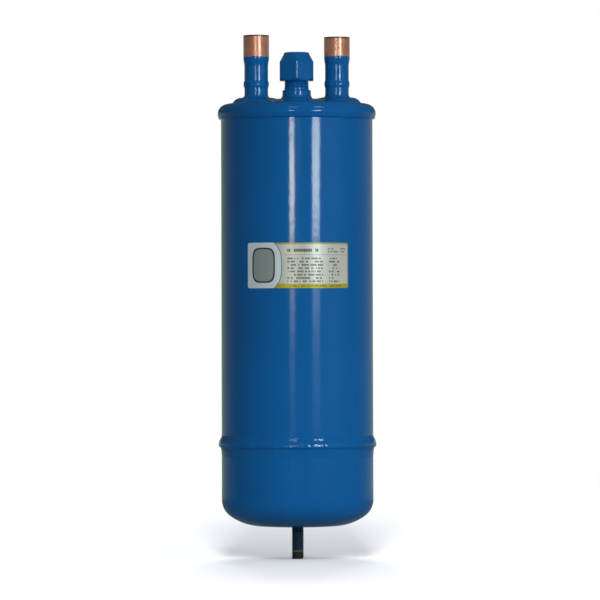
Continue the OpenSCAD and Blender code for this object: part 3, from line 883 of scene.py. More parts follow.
    def rows(self, colour: Socket, edges: Edges, strokes: Strokes, amount: float) -> Socket:
        """Print rows of strokes.

        Args:
            colour: the label's colour so far.
            edges: edges of the box that the rows fill.
            strokes: pitch and start of the rows, length of a stroke and the share that is printed.
            amount: how well the ink covers.

        Returns:
            The new colour.
        """
        values = dict(zip(("Place", "Pitch", "Start", "Stroke", "Fill"), (self.at, *strokes)))
        mask = self.g.math("MULTIPLY", self.g.effect(self.effects.words, values), self.box(edges))
        return self.g.blend(self.g.math("MULTIPLY", mask, amount), colour, self.print_ink)


class Dresser:
    """Gives a new piece its finish and body, and hides the CAD node that it stands for."""

    @staticmethod
    def dress(piece: bpy.types.Object, finish: Finish, slot: Slot, node: str) -> None:
        """Finish one piece of the vessel and report it.

        Args:
            piece: the new object.
            finish: its finish.
            slot: the record's slot that it stands for; not used.
            node: CAD node that it replaces.
        """
        piece.data.materials.append(finish.material)
        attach(piece, VESSEL)
        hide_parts(node)
        LOG.info("%s: %d faces, for %s", piece.name, len(piece.data.polygons), node)


@dataclass
class Vessel:
    """Shell, pressed cap, drawn cup and the welds that join them."""

    shell_r: float = 50.8
    shell_wall: float = 2.5
    shell_low: float = 56.6
    shell_rows: int = 25
    wall: float = 2.15
    rim_r: float = 6.7
    rim_centre: tuple[float, float] = (46.3, 275.9)
    rim_angle: float = 80.85
    rim_steps: int = 20
    lip_r: float = 4.7
    lip_steps: int = 8
    skirt_z: float = 273.9
    crown_r: float = 298.0
    crown_z: float = 286.3
    crown_rings: int = 68
    cap_columns: int = 336
    stem_r: float = 6.55
    pipe_x: float = PIPE_X
    pipe_hole_r: float = 7.7
    hole_reach: float = 1.3
    least_away: float = 0.1
    boss_z: float = BOSS_Z
    boss_flat_r: float = 10.45
    boss_edge_r: float = 6.0
    boss_slope: float = 3.0
    boss_fillet: float = 1.1
    floor_z: float = 0.6
    floor_lead: float = 0.6
    dish_turn: float = 54.5
    knuckle_r: float = 14.0
    knuckle_z: float = 18.5
    cup_wall: tuple[float, float] = (19.2, 54.6)
    floor_rows: int = 8
    bend_steps: int = 16
    wall_rows: int = 10
    segments: int = 288
    bead_z: tuple[float, ...] = (
        46.8, 48.0, 49.6, 51.0, 52.1, 52.8, 53.2, 53.5, 53.8, 54.2,
        54.6, 55.1, 55.8, 56.6, 57.4, 58.2, 59.0, 59.8, 60.6, 61.4)
    bead_proud: tuple[float, ...] = (
        -0.04, 0.1, 0.2, 0.32, 0.48, 0.66, 0.92, 1.45, 1.84, 2.03,
        2.08, 2.06, 1.98, 1.86, 1.66, 1.36, 0.98, 0.56, 0.2, -0.04)
    bead_columns: int = 480
    bead_depth: float = 0.9
    bead_full: float = 2.07
    bead_middle: float = 56.0
    bead_drop: float = 0.12
    bead_over: float = 0.02
    ripples: float = 104.0
    ripple_h: float = 0.045
    ripple_lean: float = 0.0099
    unrest_h: float = 0.06
    unrest_seed: int = 11
    unrest_waves: tuple[int, int, int] = (38, 70, 9)
    sway_h: float = 0.10
    sway_seed: int = 5
    sway_waves: tuple[int, int, int] = (5, 26, 8)
    weld_z: float = 271.8
    weld_lap: float = 0.4
    weld_gap: float = 0.02
    weld_wander: float = 0.05
    weld_seed: int = 21
    weld_waves: tuple[int, int, int] = (20, 60, 8)
    weld_rows: int = 12
    weld_columns: int = 360

    def build(self, finish: Finish) -> None:
        """Build and dress every piece.

        Args:
            finish: the enamel.
        """
        Dresser.dress(self.shell(), finish, Slot.PAINT, "shell")
        Dresser.dress(self.cap(), finish, Slot.PAINT, "top_cap")
        Dresser.dress(self.cup(), finish, Slot.PAINT, "bottom_cup")
        Dresser.dress(self.seam(), finish, Slot.PAINT, "seam_weld")
        Dresser.dress(self.lip_weld(), finish, Slot.PAINT, "cap_weld")

    def shell(self) -> bpy.types.Object:
        """Plain tube: a rectangle of the wall's section turned about the axis, in rows along its height.

        Returns:
            The new object.
        """
        rows, high = self.shell_rows, self.rim_centre[1]
        outer = np.column_stack((np.full(rows, self.shell_r), np.linspace(self.shell_low, high, rows)))
        inner = np.column_stack((np.full(2, self.shell_r - self.shell_wall), (high, self.shell_low)))
        return revolve("shell_tube", np.vstack((outer, inner)), self.segments)

    def cap_height(self, x: Array, y: Array) -> Array:
        """Height of the crown with its two bosses.

        The crown is a sphere's top, z = top - R + sqrt(R2 - r2). A boss is flat out to its land and falls
        as a quarter circle and then as a steep line. The two are joined by a parabolic fillet.

        Args:
            x: X of each point.
            y: Y of each point.

        Returns:
            The heights.
        """
        z = self.crown_z - self.crown_r + np.sqrt(self.crown_r ** 2 - x ** 2 - y ** 2)
        for side in Side:
            out = np.clip(np.hypot(x - side.value * self.pipe_x, y) - self.boss_flat_r, 0.0, None)
            fall = np.sqrt(np.clip(self.boss_edge_r ** 2 - out ** 2, 0.0, None))
            steep = self.boss_slope * np.clip(out - self.boss_edge_r, 0.0, None)
            z = smooth_max(z, self.boss_z - self.boss_edge_r + fall - steep, self.boss_fillet)
        return z

    def lip(self, low: float, count: int) -> Array:
        """Arc of the rim below its widest place, which draws in towards the shell.

        Args:
            low: height of the arc's lower end.
            count: number of steps.

        Returns:
            The arc's points as radius and height, from the widest place down.
        """
        middle = (self.rim_centre[0] + self.rim_r - self.lip_r, self.rim_centre[1])
        fall = math.degrees(math.asin((self.rim_centre[1] - low) / self.lip_r))
        return arc(middle, self.lip_r, 0.0, -fall, count)

    def cap(self) -> bpy.types.Object:
        """Pressed cap: the crown's height over rings of growing radius, then the rim's arc and the skirt.

        The inside is the same grid set in by the wall. The quads inside each pipe are left out, and the
        points just inside its hole are moved out to the hole's edge.

        Returns:
            The new object.
        """
        a = round_steps(self.cap_columns)
        c, s = np.cos(a), np.sin(a)
        tangent_r = self.rim_centre[0] + self.rim_r * math.cos(math.radians(self.rim_angle))
        crown = np.linspace(self.stem_r, tangent_r, self.crown_rings)[:, None]
        x, y = crown * c, crown * s
        z = self.cap_height(x, y)
        rim = arc(self.rim_centre, self.rim_r, self.rim_angle, 0.0, self.rim_steps)[1:]
        rim_inside = arc(self.rim_centre, self.rim_r - self.wall, self.rim_angle, 0.0, self.rim_steps)[1:]
        skirt = self.lip(self.skirt_z, self.lip_steps)[1:]
        skirt_inside = np.column_stack((np.full(len(skirt), rim[-1, 0] - self.wall), skirt[:, 1]))

        def ring(*profile: Array) -> Array:
            """Rows of points of a profile turned about the axis."""
            r, h = np.hsplit(np.vstack(profile), 2)
            return np.stack((r * c, r * s, np.broadcast_to(h, (len(h), len(a)))), axis=-1)

        outer = np.concatenate((np.stack((x, y, z), axis=-1), ring(rim, skirt)))
        inner = np.concatenate((np.stack((x, y, z - self.wall), axis=-1), ring(rim_inside, skirt_inside)))
        keep = np.ones((len(outer) - 1, len(a)), dtype=bool)
        for side in Side:
            middle = np.array([side.value * self.pipe_x, 0.0])
            away = np.hypot(outer[..., 0] - middle[0], outer[..., 1] - middle[1])
            inside = away < self.pipe_hole_r
            corner = inside & np.roll(inside, -1, axis=1)
            keep &= ~(corner[:-1] & corner[1:])
            on_edge = (inside & (away > self.pipe_hole_r - self.hole_reach))[..., None]
            # The least distance keeps a point on the pipe's axis from dividing by nought.
            outwards = (self.pipe_hole_r / np.maximum(away, self.least_away))[..., None]
            for layer in (outer, inner):
                moved = (layer[..., :2] - middle) * outwards + middle
                layer[..., :2] = np.where(on_edge, moved, layer[..., :2])
        return thick_sheet("pressed_cap", outer, inner, keep, True)[0]

    def cup(self) -> bpy.types.Object:
        """Drawn cup: flat floor, two tangent arcs and an upright wall, turned about the axis.

        The arcs share their normal where they meet, at the dish's turn. From there the dish has to fall
        to the floor, which gives its radius, and the floor ends below its centre.

        Returns:
            The new object.
        """
        cos, sin = math.cos(math.radians(self.dish_turn)), math.sin(math.radians(self.dish_turn))
        knuckle_c = (self.shell_r - self.knuckle_r, self.knuckle_z)
        dish_r = (self.knuckle_z - self.knuckle_r * sin - self.floor_z) / (1.0 - sin)
        floor_r = knuckle_c[0] + (self.knuckle_r - dish_r) * cos
        dish_c = (floor_r, self.floor_z + dish_r)
        floor = np.linspace(0.0, floor_r - self.floor_lead, self.floor_rows)
        upright = np.linspace(*self.cup_wall, self.wall_rows)

        def line(inset: float) -> Array:
            """The profile from the floor's middle up the wall.

            Args:
                inset: how far it is set in from the outside.

            Returns:
                The profile's points as radius and height.
            """
            return np.vstack((
                np.column_stack((floor, np.full_like(floor, self.floor_z + inset))),
                arc(dish_c, dish_r - inset, -90.0, -self.dish_turn, self.bend_steps),
                arc(knuckle_c, self.knuckle_r - inset, -self.dish_turn, 0.0, self.bend_steps)[1:],
                np.column_stack((np.full_like(upright, self.shell_r - inset), upright))))

        profile = np.vstack((line(0.0), line(self.wall)[::-1]))
        return revolve("drawn_cup", profile, self.segments, poles=True)

    def seam(self) -> bpy.types.Object:
        """Girth bead: a crest that leans outwards to its lower edge, a crease below it and a slow taper.

        The radius wanders with a few long waves and many short ripples, all whole numbers round the seam,
        and fades to nothing at both ends of the profile.

        Returns:
            The new object.
        """
        given = np.arange(len(self.bead_z))
        between = np.arange(2 * len(given) - 1) / 2
        z = np.interp(between, given, self.bead_z)
        proud = np.interp(between, given, self.bead_proud)
        a = round_steps(self.bead_columns)
        share = np.clip(proud / self.bead_full, 0.0, 1.0)[:, None]
        lean = self.ripple_lean * (z[:, None] - self.bead_middle)
        ripple = self.ripple_h * np.sin(self.ripples * (a + lean))
        ripple = ripple + self.unrest_h * waver(a, self.unrest_seed, *self.unrest_waves)
        sway = self.sway_h * waver(a, self.sway_seed, *self.sway_waves)
        push = share * np.minimum(ripple + sway - self.bead_drop, self.bead_over)
        inside_r = self.shell_r - self.bead_depth
        inside = [[inside_r, self.bead_z[-1]], [inside_r, self.bead_z[0]]]
        profile = np.vstack((np.column_stack((self.shell_r + proud, z)), inside))
        push = np.vstack((push, np.zeros((len(inside), len(a)))))
        return revolve("girth_weld", profile, len(a), push=push)

    def lip_weld(self) -> bpy.types.Object:
        """Weld under the cap's lip: a quarter ellipse with a faint wander, turned about the axis.

        Returns:
            The new object.
        """
        a = round_steps(self.weld_columns)
        q = np.radians(np.linspace(0.0, 90.0, self.weld_rows))
        high, inside_r = self.skirt_z + self.weld_lap, self.shell_r - self.weld_lap
        lip_r = self.lip(high, 2)[-1, 0] - self.weld_gap
        outer = np.column_stack((self.shell_r + (lip_r - self.shell_r) * np.cos(q),
                                 high - (high - self.weld_z) * np.sin(q)))
        profile = np.vstack((outer[::-1], [[inside_r, high], [inside_r, self.weld_z]]))
        wander = self.weld_wander * waver(a, self.weld_seed, *self.weld_waves) - self.weld_wander
        return revolve("lip_weld", profile, len(a), push=half_wave(len(q), 2) * wander)


@dataclass
class Connection:
    """One gas connection: steel nipple with its weld, braze bead and copper stub."""

    side: Side
    top_z: float
    pipe_x: float = PIPE_X
    pipe_r: float = 7.95
    nipple_wall: float = 1.5
    nipple_low: float = 260.3
    nipple_ease: tuple[float, float] = (0.2, 0.3)
    boss_z: float = BOSS_Z
    weld_l: float = 1.9
    weld_in: float = 0.3
    weld_down: float = 0.4
    weld_wander: float = 0.12
    weld_seed: int = 31
    weld_waves: tuple[int, int, int] = (4, 18, 7)
    weld_steps: int = 10
    joint_z: float = 295.874
    joint_gap: float = 0.01
    braze_h: float = 4.7
    braze_proud: float = 0.65
    braze_edge: float = 0.02
    braze_in: float = 0.4
    braze_wander: float = 0.11
    braze_drop: float = 0.1
    braze_seed: int = 43
    braze_waves: tuple[int, int, int] = (3, 14, 7)
    braze_rows: int = 17
    plain_z: float = 301.0
    swage_low: float = 307.974
    swage_high: float = 313.474
    swage_rows: int = 15
    paint_z: float = 314.5
    socket_z: float = 316.0
    socket_r: float = 8.01
    socket_out: float = 8.61
    stub_in: float = 6.95
    rim_out: float = 0.25
    rim_in: float = 0.2
    rim_lead: tuple[float, float] = (1.2, 1.0)
    rim_steps: int = 5
    segments: int = 128

    @property
    def name(self) -> str:
        """Name of the side, as the nodes have it."""
        return self.side.name.lower()

    @property
    def centre(self) -> tuple[float, float]:
        """X and Y of the pipe's axis."""
        return (self.pipe_x * self.side.value, 0.0)

    def build(self, enamel: Finish, copper: Finish) -> None:
        """Build and dress every piece.

        Args:
            enamel: finish of the painted steel.
            copper: finish of the stub.
        """
        Dresser.dress(self.nipple(), enamel, Slot.PAINT, f"{self.name}_nipple")
        Dresser.dress(self.weld(), enamel, Slot.PAINT, f"{self.name}_weld")
        Dresser.dress(self.braze(), enamel, Slot.PAINT, f"{self.name}_braze")
        Dresser.dress(self.stub(), copper, Slot.COPPER, f"{self.name}_stub")

    def nipple(self) -> bpy.types.Object:
        """Steel tube: its wall's rectangle with eased lower corners, turned about the pipe.

        Returns:
            The new object.
        """
        inner_r, high = self.pipe_r - self.nipple_wall, self.joint_z - self.joint_gap
        profile = rounded(((inner_r, self.nipple_low, self.nipple_ease[0]),
                           (self.pipe_r, self.nipple_low, self.nipple_ease[1]),
                           (self.pipe_r, high, 0.0), (inner_r, high, 0.0)))
        return revolve(f"{self.name}_nipple_tube", profile, self.segments, self.centre)

    def weld(self) -> bpy.types.Object:
        """Hollow fillet between boss and nipple: a quarter circle that wanders a little round the pipe.

        Returns:
            The new object.
        """
        out_r, in_r = self.pipe_r + self.weld_l, self.pipe_r - self.weld_in
        high, low = self.boss_z + self.weld_l, self.boss_z - self.weld_down
        hollow = arc((out_r, high), self.weld_l, 270.0, 180.0, self.weld_steps)
        profile = np.vstack((hollow, [[in_r, high], [in_r, low], [out_r, low]]))
        wander = waver(round_steps(self.segments), self.weld_seed + self.side.value, *self.weld_waves)
        push = half_wave(len(hollow), 3) * self.weld_wander * wander
        return revolve(f"{self.name}_nipple_weld", profile, self.segments, self.centre, push)

    def braze(self) -> bpy.types.Object:
        """Braze bead: half an ellipse with thin edges in section, thicker and thinner round the joint.

        It stands out by the cosine to the power 1.4 and wanders by the cosine to the power 1.2.

        Returns:
            The new object.
        """
        q = np.radians(np.linspace(-90.0, 90.0, self.braze_rows))
        outer = np.column_stack((self.pipe_r - self.braze_edge + self.braze_proud * np.cos(q) ** 1.4,
                                 self.joint_z + 0.5 * self.braze_h * np.sin(q)))
        in_r = self.pipe_r - self.braze_in
        profile = np.vstack((outer, [[in_r, outer[-1, 1]], [in_r, outer[0, 1]]]))
        fade = np.concatenate((np.cos(q) ** 1.2, np.zeros(2)))[:, None]
        wander = waver(round_steps(self.segments), self.braze_seed + self.side.value, *self.braze_waves)
        push = fade * np.minimum(self.braze_wander * wander - self.braze_drop, 0.0)
        return revolve(f"{self.name}_braze_bead", profile, self.segments, self.centre, push)

    def stub(self) -> bpy.types.Object:
        """Copper stub: the wall widens along z by the smooth step s = 3t2 - 2t3 and ends in an eased rim.

        Returns:
            The new object.
        """
        t = np.linspace(0.0, 1.0, self.swage_rows)
        s = 3.0 * t ** 2 - 2.0 * t ** 3
        z = self.swage_low + (self.swage_high - self.swage_low) * t
        out_r, in_r, out_q, in_q = self.socket_out, self.socket_r, self.rim_out, self.rim_in
        profile = np.vstack((
            [[self.pipe_r, self.joint_z], [self.pipe_r, self.plain_z]],
            np.column_stack((self.pipe_r + (out_r - self.pipe_r) * s, z)),
            [[out_r, self.socket_z], [out_r, self.top_z - self.rim_lead[0]]],
            arc((out_r - out_q, self.top_z - out_q), out_q, 0.0, 90.0, self.rim_steps),
            arc((in_r + in_q, self.top_z - in_q), in_q, 90.0, 180.0, self.rim_steps),
            [[in_r, self.top_z - self.rim_lead[1]], [in_r, self.socket_z]],
            np.column_stack((self.stub_in + (in_r - self.stub_in) * s, z))[::-1],
            [[self.stub_in, self.joint_z]]))
        return revolve(f"{self.name}_copper_stub", profile, self.segments, self.centre)


@dataclass
class OilReturn:
    """Flare fitting on the cap's middle, its weld and the nut."""

    stem_low: float = 272.3
    stem_r: float = 6.5
    tube_r: float = 4.05
    passage_r: float = 3.0
    passage_low: float = 280.3
    collar_r: float = 9.55
    collar_low: float = 286.3
    collar_sunk: float = 0.6
    collar_high: float = 292.0
    collar_ease: float = 0.75
    corner_ease: float = 0.3
    neck_r: float = 8.25
    neck_rise: float = 0.45
    neck_high: float = 297.5
    thread_rise: float = 0.5
    thread_r: float = 7.95
    thread_high: float = 308.5
    thread_rows: int = 150
    thread_depth: float = 0.55
    thread_power: float = 1.3
    thread_fade: tuple[float, float] = (1.0, 1.6)
    pitch: float = 1.411
    tip_r: float = 3.4
    tip_z: float = 313.05
    weld_foot_r: float = 12.15
    weld_foot_z: float = 286.02
    weld_low: float = 285.4
    weld_high: float = 288.7
    weld_in: float = 0.4
    weld_wander: float = 0.14
    weld_seed: int = 57
    weld_waves: tuple[int, int, int] = (4, 16, 7)
    weld_rows: int = 12
    nut_low: float = 297.9
    nut_foot: float = 2.0
    hex_high: float = 310.8
    hex_bend: float = 0.8
    nut_high: float = 317.3
    nut_rows: tuple[int, ...] = (12, 8, 9, 14)
    nut_columns: int = 360
    nut_sharp: float = 34.0
    across_flats: float = 22.6
    edge_trim: float = 0.22
    edge_ease: float = 0.55
    chamfer: float = 0.4
    chamfer_slope: float = 1.1
    chamfer_ease: float = 0.3
    top_r: float = 8.5
    top_edge: float = 1.1
    top_steps: int = 8
    hole_r: float = 4.9
    hole_edge: tuple[tuple[float, float], ...] = (
        (0.6, 0.0), (0.25, 0.0), (0.07, 0.07), (0.0, 0.25), (0.0, 0.8))
    seat_high: float = 312.68
    seat_low: float = 309.53
    bore_r: float = 8.05
    bore_mouth: float = 0.3
    segments: int = 192

    def build(self, finish: Finish) -> None:
        """Build and dress every piece.

        Args:
            finish: the enamel.
        """
        Dresser.dress(self.fitting(), finish, Slot.PAINT, "flare_fitting")
        Dresser.dress(self.weld(), finish, Slot.PAINT, "fitting_weld")
        Dresser.dress(self.nut(), finish, Slot.PAINT, "flare_nut")

    def fitting(self) -> bpy.types.Object:
        """Turned fitting: a profile turned about the axis, with a thread cut into neck and shank.

        The thread takes depth times a rounded groove from the radius. The groove is a power of half of
        1 - sin of the turns climbed, z / pitch - a / 360, and fades in above the collar.

        Returns:
            The new object.
        """
        sunk_z, neck_z = self.collar_low - self.collar_sunk, self.collar_high + self.neck_rise
        z = np.linspace(self.collar_high + self.thread_rise, self.thread_high, self.thread_rows)
        shank = np.where(z < self.neck_high, self.neck_r, self.thread_r)
        low = rounded(((self.tube_r, self.stem_low, 0.0), (self.stem_r, self.stem_low, self.corner_ease),
                       (self.stem_r, sunk_z, 0.0), (self.collar_r, sunk_z, 0.0),
                       (self.collar_r, self.collar_high, self.collar_ease),
                       (self.neck_r, self.collar_high, self.corner_ease),
                       (self.neck_r, neck_z, 0.0), (self.tube_r, neck_z, 0.0)))[:-1]
        high = [[self.tip_r, self.tip_z], [self.passage_r, self.tip_z],
                [self.passage_r, self.passage_low], [self.tube_r, self.passage_low]]
        profile = np.vstack((low, np.column_stack((shank, z)), high))
        climb = TURN * (z[:, None] / self.pitch) - round_steps(self.segments)
        start, run = self.thread_fade
        fade = np.clip((z - self.collar_high - start) / run, 0.0, 1.0)[:, None]
        cut = -self.thread_depth * fade * (0.5 - 0.5 * np.sin(climb)) ** self.thread_power
        push = np.pad(cut, ((len(low), len(high)), (0, 0)))
        return revolve("return_fitting", profile, self.segments, push=push)

    def weld(self) -> bpy.types.Object:
        """Hollow fillet from the crown up the collar: a quarter ellipse that wanders a little.

        Returns:
            The new object.
        """
        q = np.radians(np.linspace(0.0, 90.0, self.weld_rows))
        hollow = np.column_stack((self.weld_foot_r - (self.weld_foot_r - self.collar_r) * np.sin(q),
                                  self.weld_foot_z + (self.weld_high - self.weld_foot_z) * (1.0 - np.cos(q))))
        in_r = self.collar_r - self.weld_in
        profile = np.vstack((hollow, [[in_r, self.weld_high], [in_r, self.weld_low],
                                      [self.weld_foot_r, self.weld_low]]))
        wander = waver(round_steps(self.segments), self.weld_seed, *self.weld_waves)
        push = half_wave(len(q), 3) * self.weld_wander * wander
        return revolve("fitting_weld_fillet", profile, self.segments, push=push)

    def nut_radius(self, angle: Array, z: Array) -> Array:
        """Outside radius of the nut.

        A flat at half the width over flats from the axis has radius h / cos b, with b measured from the
        flat's middle. The corners are eased by a smooth least of that and a circle, the body goes over
        to the round top in proportion to its height, and the foot is chamfered.

        Args:
            angle: angle of each column.
            z: height of each row.

        Returns:
            The radii, rows by columns.
        """
        half = 0.5 * self.across_flats
        b = np.mod(angle + TURN / 12.0, TURN / 6.0) - TURN / 12.0
        flat = half / np.cos(b)
        corner = np.full_like(flat, 2.0 * half / math.sqrt(3.0) - self.edge_trim)
        hexagon = -smooth_max(-flat, -corner, self.edge_ease)
        t = np.clip((z - self.hex_high) / (self.nut_high - self.top_edge - self.hex_high), 0.0, 1.0)[:, None]
        body = hexagon * (1.0 - t) + self.top_r * t
        foot = half - self.chamfer + self.chamfer_slope * np.clip(z - self.nut_low, 0.0, None)[:, None]
        return -smooth_max(-body, -foot, self.chamfer_ease)

    def nut(self) -> bpy.types.Object:
        """Forged nut: the outside radius over angle and height, closed by a stepped bore.

        Returns:
            The new object.
        """
        top_z = self.nut_high - self.top_edge
        levels = (self.nut_low, self.nut_low + self.nut_foot, self.hex_high - self.hex_bend,
                  self.hex_high + self.hex_bend, top_z)
        spans = [np.linspace(*span) for span in zip(levels, levels[1:], self.nut_rows)]
        z = np.unique(np.concatenate(spans))
        radius = self.nut_radius(round_steps(self.nut_columns), z)
        rest = np.vstack((
            arc((self.top_r - self.top_edge, top_z), self.top_edge, 0.0, 90.0, self.top_steps)[1:],
            [[self.hole_r + out, self.nut_high - down] for out, down in self.hole_edge],
            [[self.hole_r, self.seat_high], [self.bore_r, self.seat_low],
             [self.bore_r, self.nut_low + self.bore_mouth], [self.bore_r + self.bore_mouth, self.nut_low]]))
        profile = np.vstack((np.column_stack((np.zeros(len(z)), z)), rest))
        push = np.pad(radius, ((0, len(rest)), (0, 0)))
        return revolve("return_nut", profile, self.nut_columns, push=push, sharp=self.nut_sharp)


@dataclass
class FixingStud:
    """Threaded stud under the cup."""

    crest_r: float = 3.99
    root_depth: float = 0.5
    pitch: float = 1.25
    length: float = 21.5
    tip_gap: float = 0.001
    seat: float = 0.6
    chamfer: float = 0.9
    chamfer_slope: float = 1.1
    end_in: float = 1.0
    ridge_gain: float = 1.7
    ridge_loss: float = 0.1
    thread_fade: tuple[float, float] = (0.5, 1.2)
    rows: int = 230
    columns: int = 96
    sharp: float = 50.0

    def build(self, finish: Finish) -> None:
        """Build and dress the stud.

        Args:
            finish: finish of the stud.
        """
        Dresser.dress(self.stud(), finish, Slot.STUD, "mounting_stud")

    def stud(self) -> bpy.types.Object:
        """Stud: a rod whose radius falls between the crests of a climbing ridge, with a chamfered end.

        The ridge is a clipped triangle wave of the turns climbed, z / pitch - a / 360, so that crests and
        roots are flat, and it fades out under the cup.

        Returns:
            The new object.
        """
        a = round_steps(self.columns)
        z = np.linspace(-self.length + self.tip_gap, self.seat, self.rows)
        turns = z[:, None] / self.pitch - a / TURN
        wave = np.abs(2.0 * (turns - np.floor(turns)) - 1.0)
        ridge = np.clip(self.ridge_gain * wave - self.ridge_loss, 0.0, 1.0)
        start, run = self.thread_fade
        fade = np.clip((-z - start) / run, 0.0, 1.0)[:, None]
        end_r = self.crest_r - self.chamfer
        cone = end_r + self.chamfer_slope * (z[:, None] + self.length)
        radius = np.minimum(self.crest_r - self.root_depth * fade * (1.0 - ridge), cone)
        profile = np.vstack(([[0.0, z[0]], [end_r - self.end_in, z[0]]],
                             np.column_stack((np.zeros(len(z)), z)), [[0.0, self.seat]]))
        push = np.pad(radius, ((2, 1), (0, 0)))
        return revolve("fixing_stud", profile, self.columns, push=push, poles=True, sharp=self.sharp)


@dataclass
class RatingLabel:
    """Foil label bent round the shell's front."""

    width: float = 71.8
    height: float = 30.0
    low_z: float = 159.2
    turn: float = 0.9
    bend_r: float = 50.9
    face_r: float = 51.05
    back_r: float = 50.81
    corner_r: float = 1.6
    corner_columns: int = 10
    columns: int = 90
    rows: int = 9

    def build(self, finish: Finish) -> None:
        """Build and dress the label.

        Args:
            finish: the printed foil.
        """
        Dresser.dress(self.label(), finish, Slot.LABEL, "rating_label")

    def label(self) -> bpy.types.Object:
        """Label: u runs round the shell at a = u / bend and v up it, and v is drawn in at the round corners.

        Within a corner radius q of either end, half the height falls by q - sqrt(q2 - (q - d)2), with d
        the distance from the end. The UV map is u and v as shares of the label.

        Returns:
            The new object.
        """
        half, q = 0.5 * self.width, self.corner_r
        near = np.sort(half - q + q * np.sin(np.radians(np.linspace(0.0, 90.0, self.corner_columns))))
        u = np.concatenate((-near[::-1], np.linspace(-half + q, half - q, self.columns)[1:-1], near))
        d = np.clip(half - np.abs(u), 0.0, q)
        reach = 0.5 * self.height - q + np.sqrt(np.clip(q * q - (q - d) ** 2, 0.0, None))
        v = np.linspace(-1.0, 1.0, self.rows)[:, None] * reach
        u = np.broadcast_to(u, v.shape)
        angle = np.radians(self.turn - 90.0) + u / self.bend_r
        z = self.low_z + 0.5 * self.height + v
        outer, inner = (np.stack((r * np.cos(angle), r * np.sin(angle), z), axis=-1)
                        for r in (self.face_r, self.back_r))
        keep = np.ones((v.shape[0] - 1, v.shape[1] - 1), dtype=bool)
        piece, used = thick_sheet("foil_label", outer, inner, keep, False)
        flat = np.stack((u / self.width + 0.5, v / self.height + 0.5), axis=-1).reshape(-1, 2)
        flat = np.vstack((flat, flat))[used]
        mesh = piece.data
        corner = np.empty(len(mesh.loops), dtype=np.int32)
        mesh.loops.foreach_get("vertex_index", corner)
        mesh.uv_layers.new(name="label").data.foreach_set("uv", flat[corner].astype(np.float32).ravel())
        return piece


@dataclass
class Inside:
    """Pieces inside the vessel, which keep their CAD solids and get finishes."""

    steel: tuple[str, ...] = (
        "inlet_screen", "inlet_collar", "inlet_end", "outlet_screen", "outlet_collar", "outlet_end",
        "baffle_plate", "bracket", "bracket_rivets", "valve_seat", "pivot_pin", "needle", "link_pin",
        "float_lever", "float_ball")
    brass: tuple[str, ...] = ("valve_body", "passage_plug")
    copper: tuple[str, ...] = ("return_tube", "flare_bonnet")

    def build(self, steel: Finish, brass: Finish, copper: Finish) -> None:
        """Give each kept node its finish.

        Args:
            steel: finish of the sheet and turned steel.
            brass: finish of the valve body.
            copper: finish of the return tube and the bonnet.
        """
        for names, finish in ((self.steel, steel), (self.brass, brass), (self.copper, copper)):
            for name in names:
                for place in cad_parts[name].material_slots:
                    place.material = finish.material
                LOG.info("%s: kept node", name)


@dataclass(frozen=True)
class Lamp:
    """One area lamp, aimed at a point, by its direction from that point. Lengths are metres."""

    name: str
    azimuth: float
    elevation: float
    distance: float
    width: float
    height: float
    power: float
    target: tuple[float, float, float] = (0.0, 0.0, 0.15)
    tint: tuple[float, float, float] = (1.0, 1.0, 1.0)
    mirrored: bool = True
    reach: Reach = Reach.ALL

    def build(self, floor: bpy.types.Object) -> None:
        """Make the lamp.

        Azimuth turns from the front, -Y, towards +X, and elevation is measured from the floor.

        Args:
            floor: the floor, which a lamp may be kept to or kept off.
        """
        a, e = math.radians(self.azimuth), math.radians(self.elevation)
        towards = Vector((math.sin(a) * math.cos(e), -math.cos(a) * math.cos(e), math.sin(e)))
        light = bpy.data.lights.new(self.name, "AREA")
        light.shape, light.size, light.size_y = "RECTANGLE", self.width, self.height
        light.energy, light.color = self.power, self.tint
        lamp = bpy.data.objects.new(self.name, light)
        lamp.location = Vector(self.target) + towards * self.distance
        lamp.rotation_euler = towards.to_track_quat("Z", "Y").to_euler()
        lamp.visible_camera = False
        lamp.visible_glossy = self.mirrored
        if self.reach is not Reach.ALL:
            lit = bpy.data.collections.new(f"{self.name}_reach")
            lit.objects.link(floor)
            lit.collection_objects[0].light_linking.link_state = self.reach.value
            lamp.light_linking.receiver_collection = lit
        bpy.context.scene.collection.objects.link(lamp)


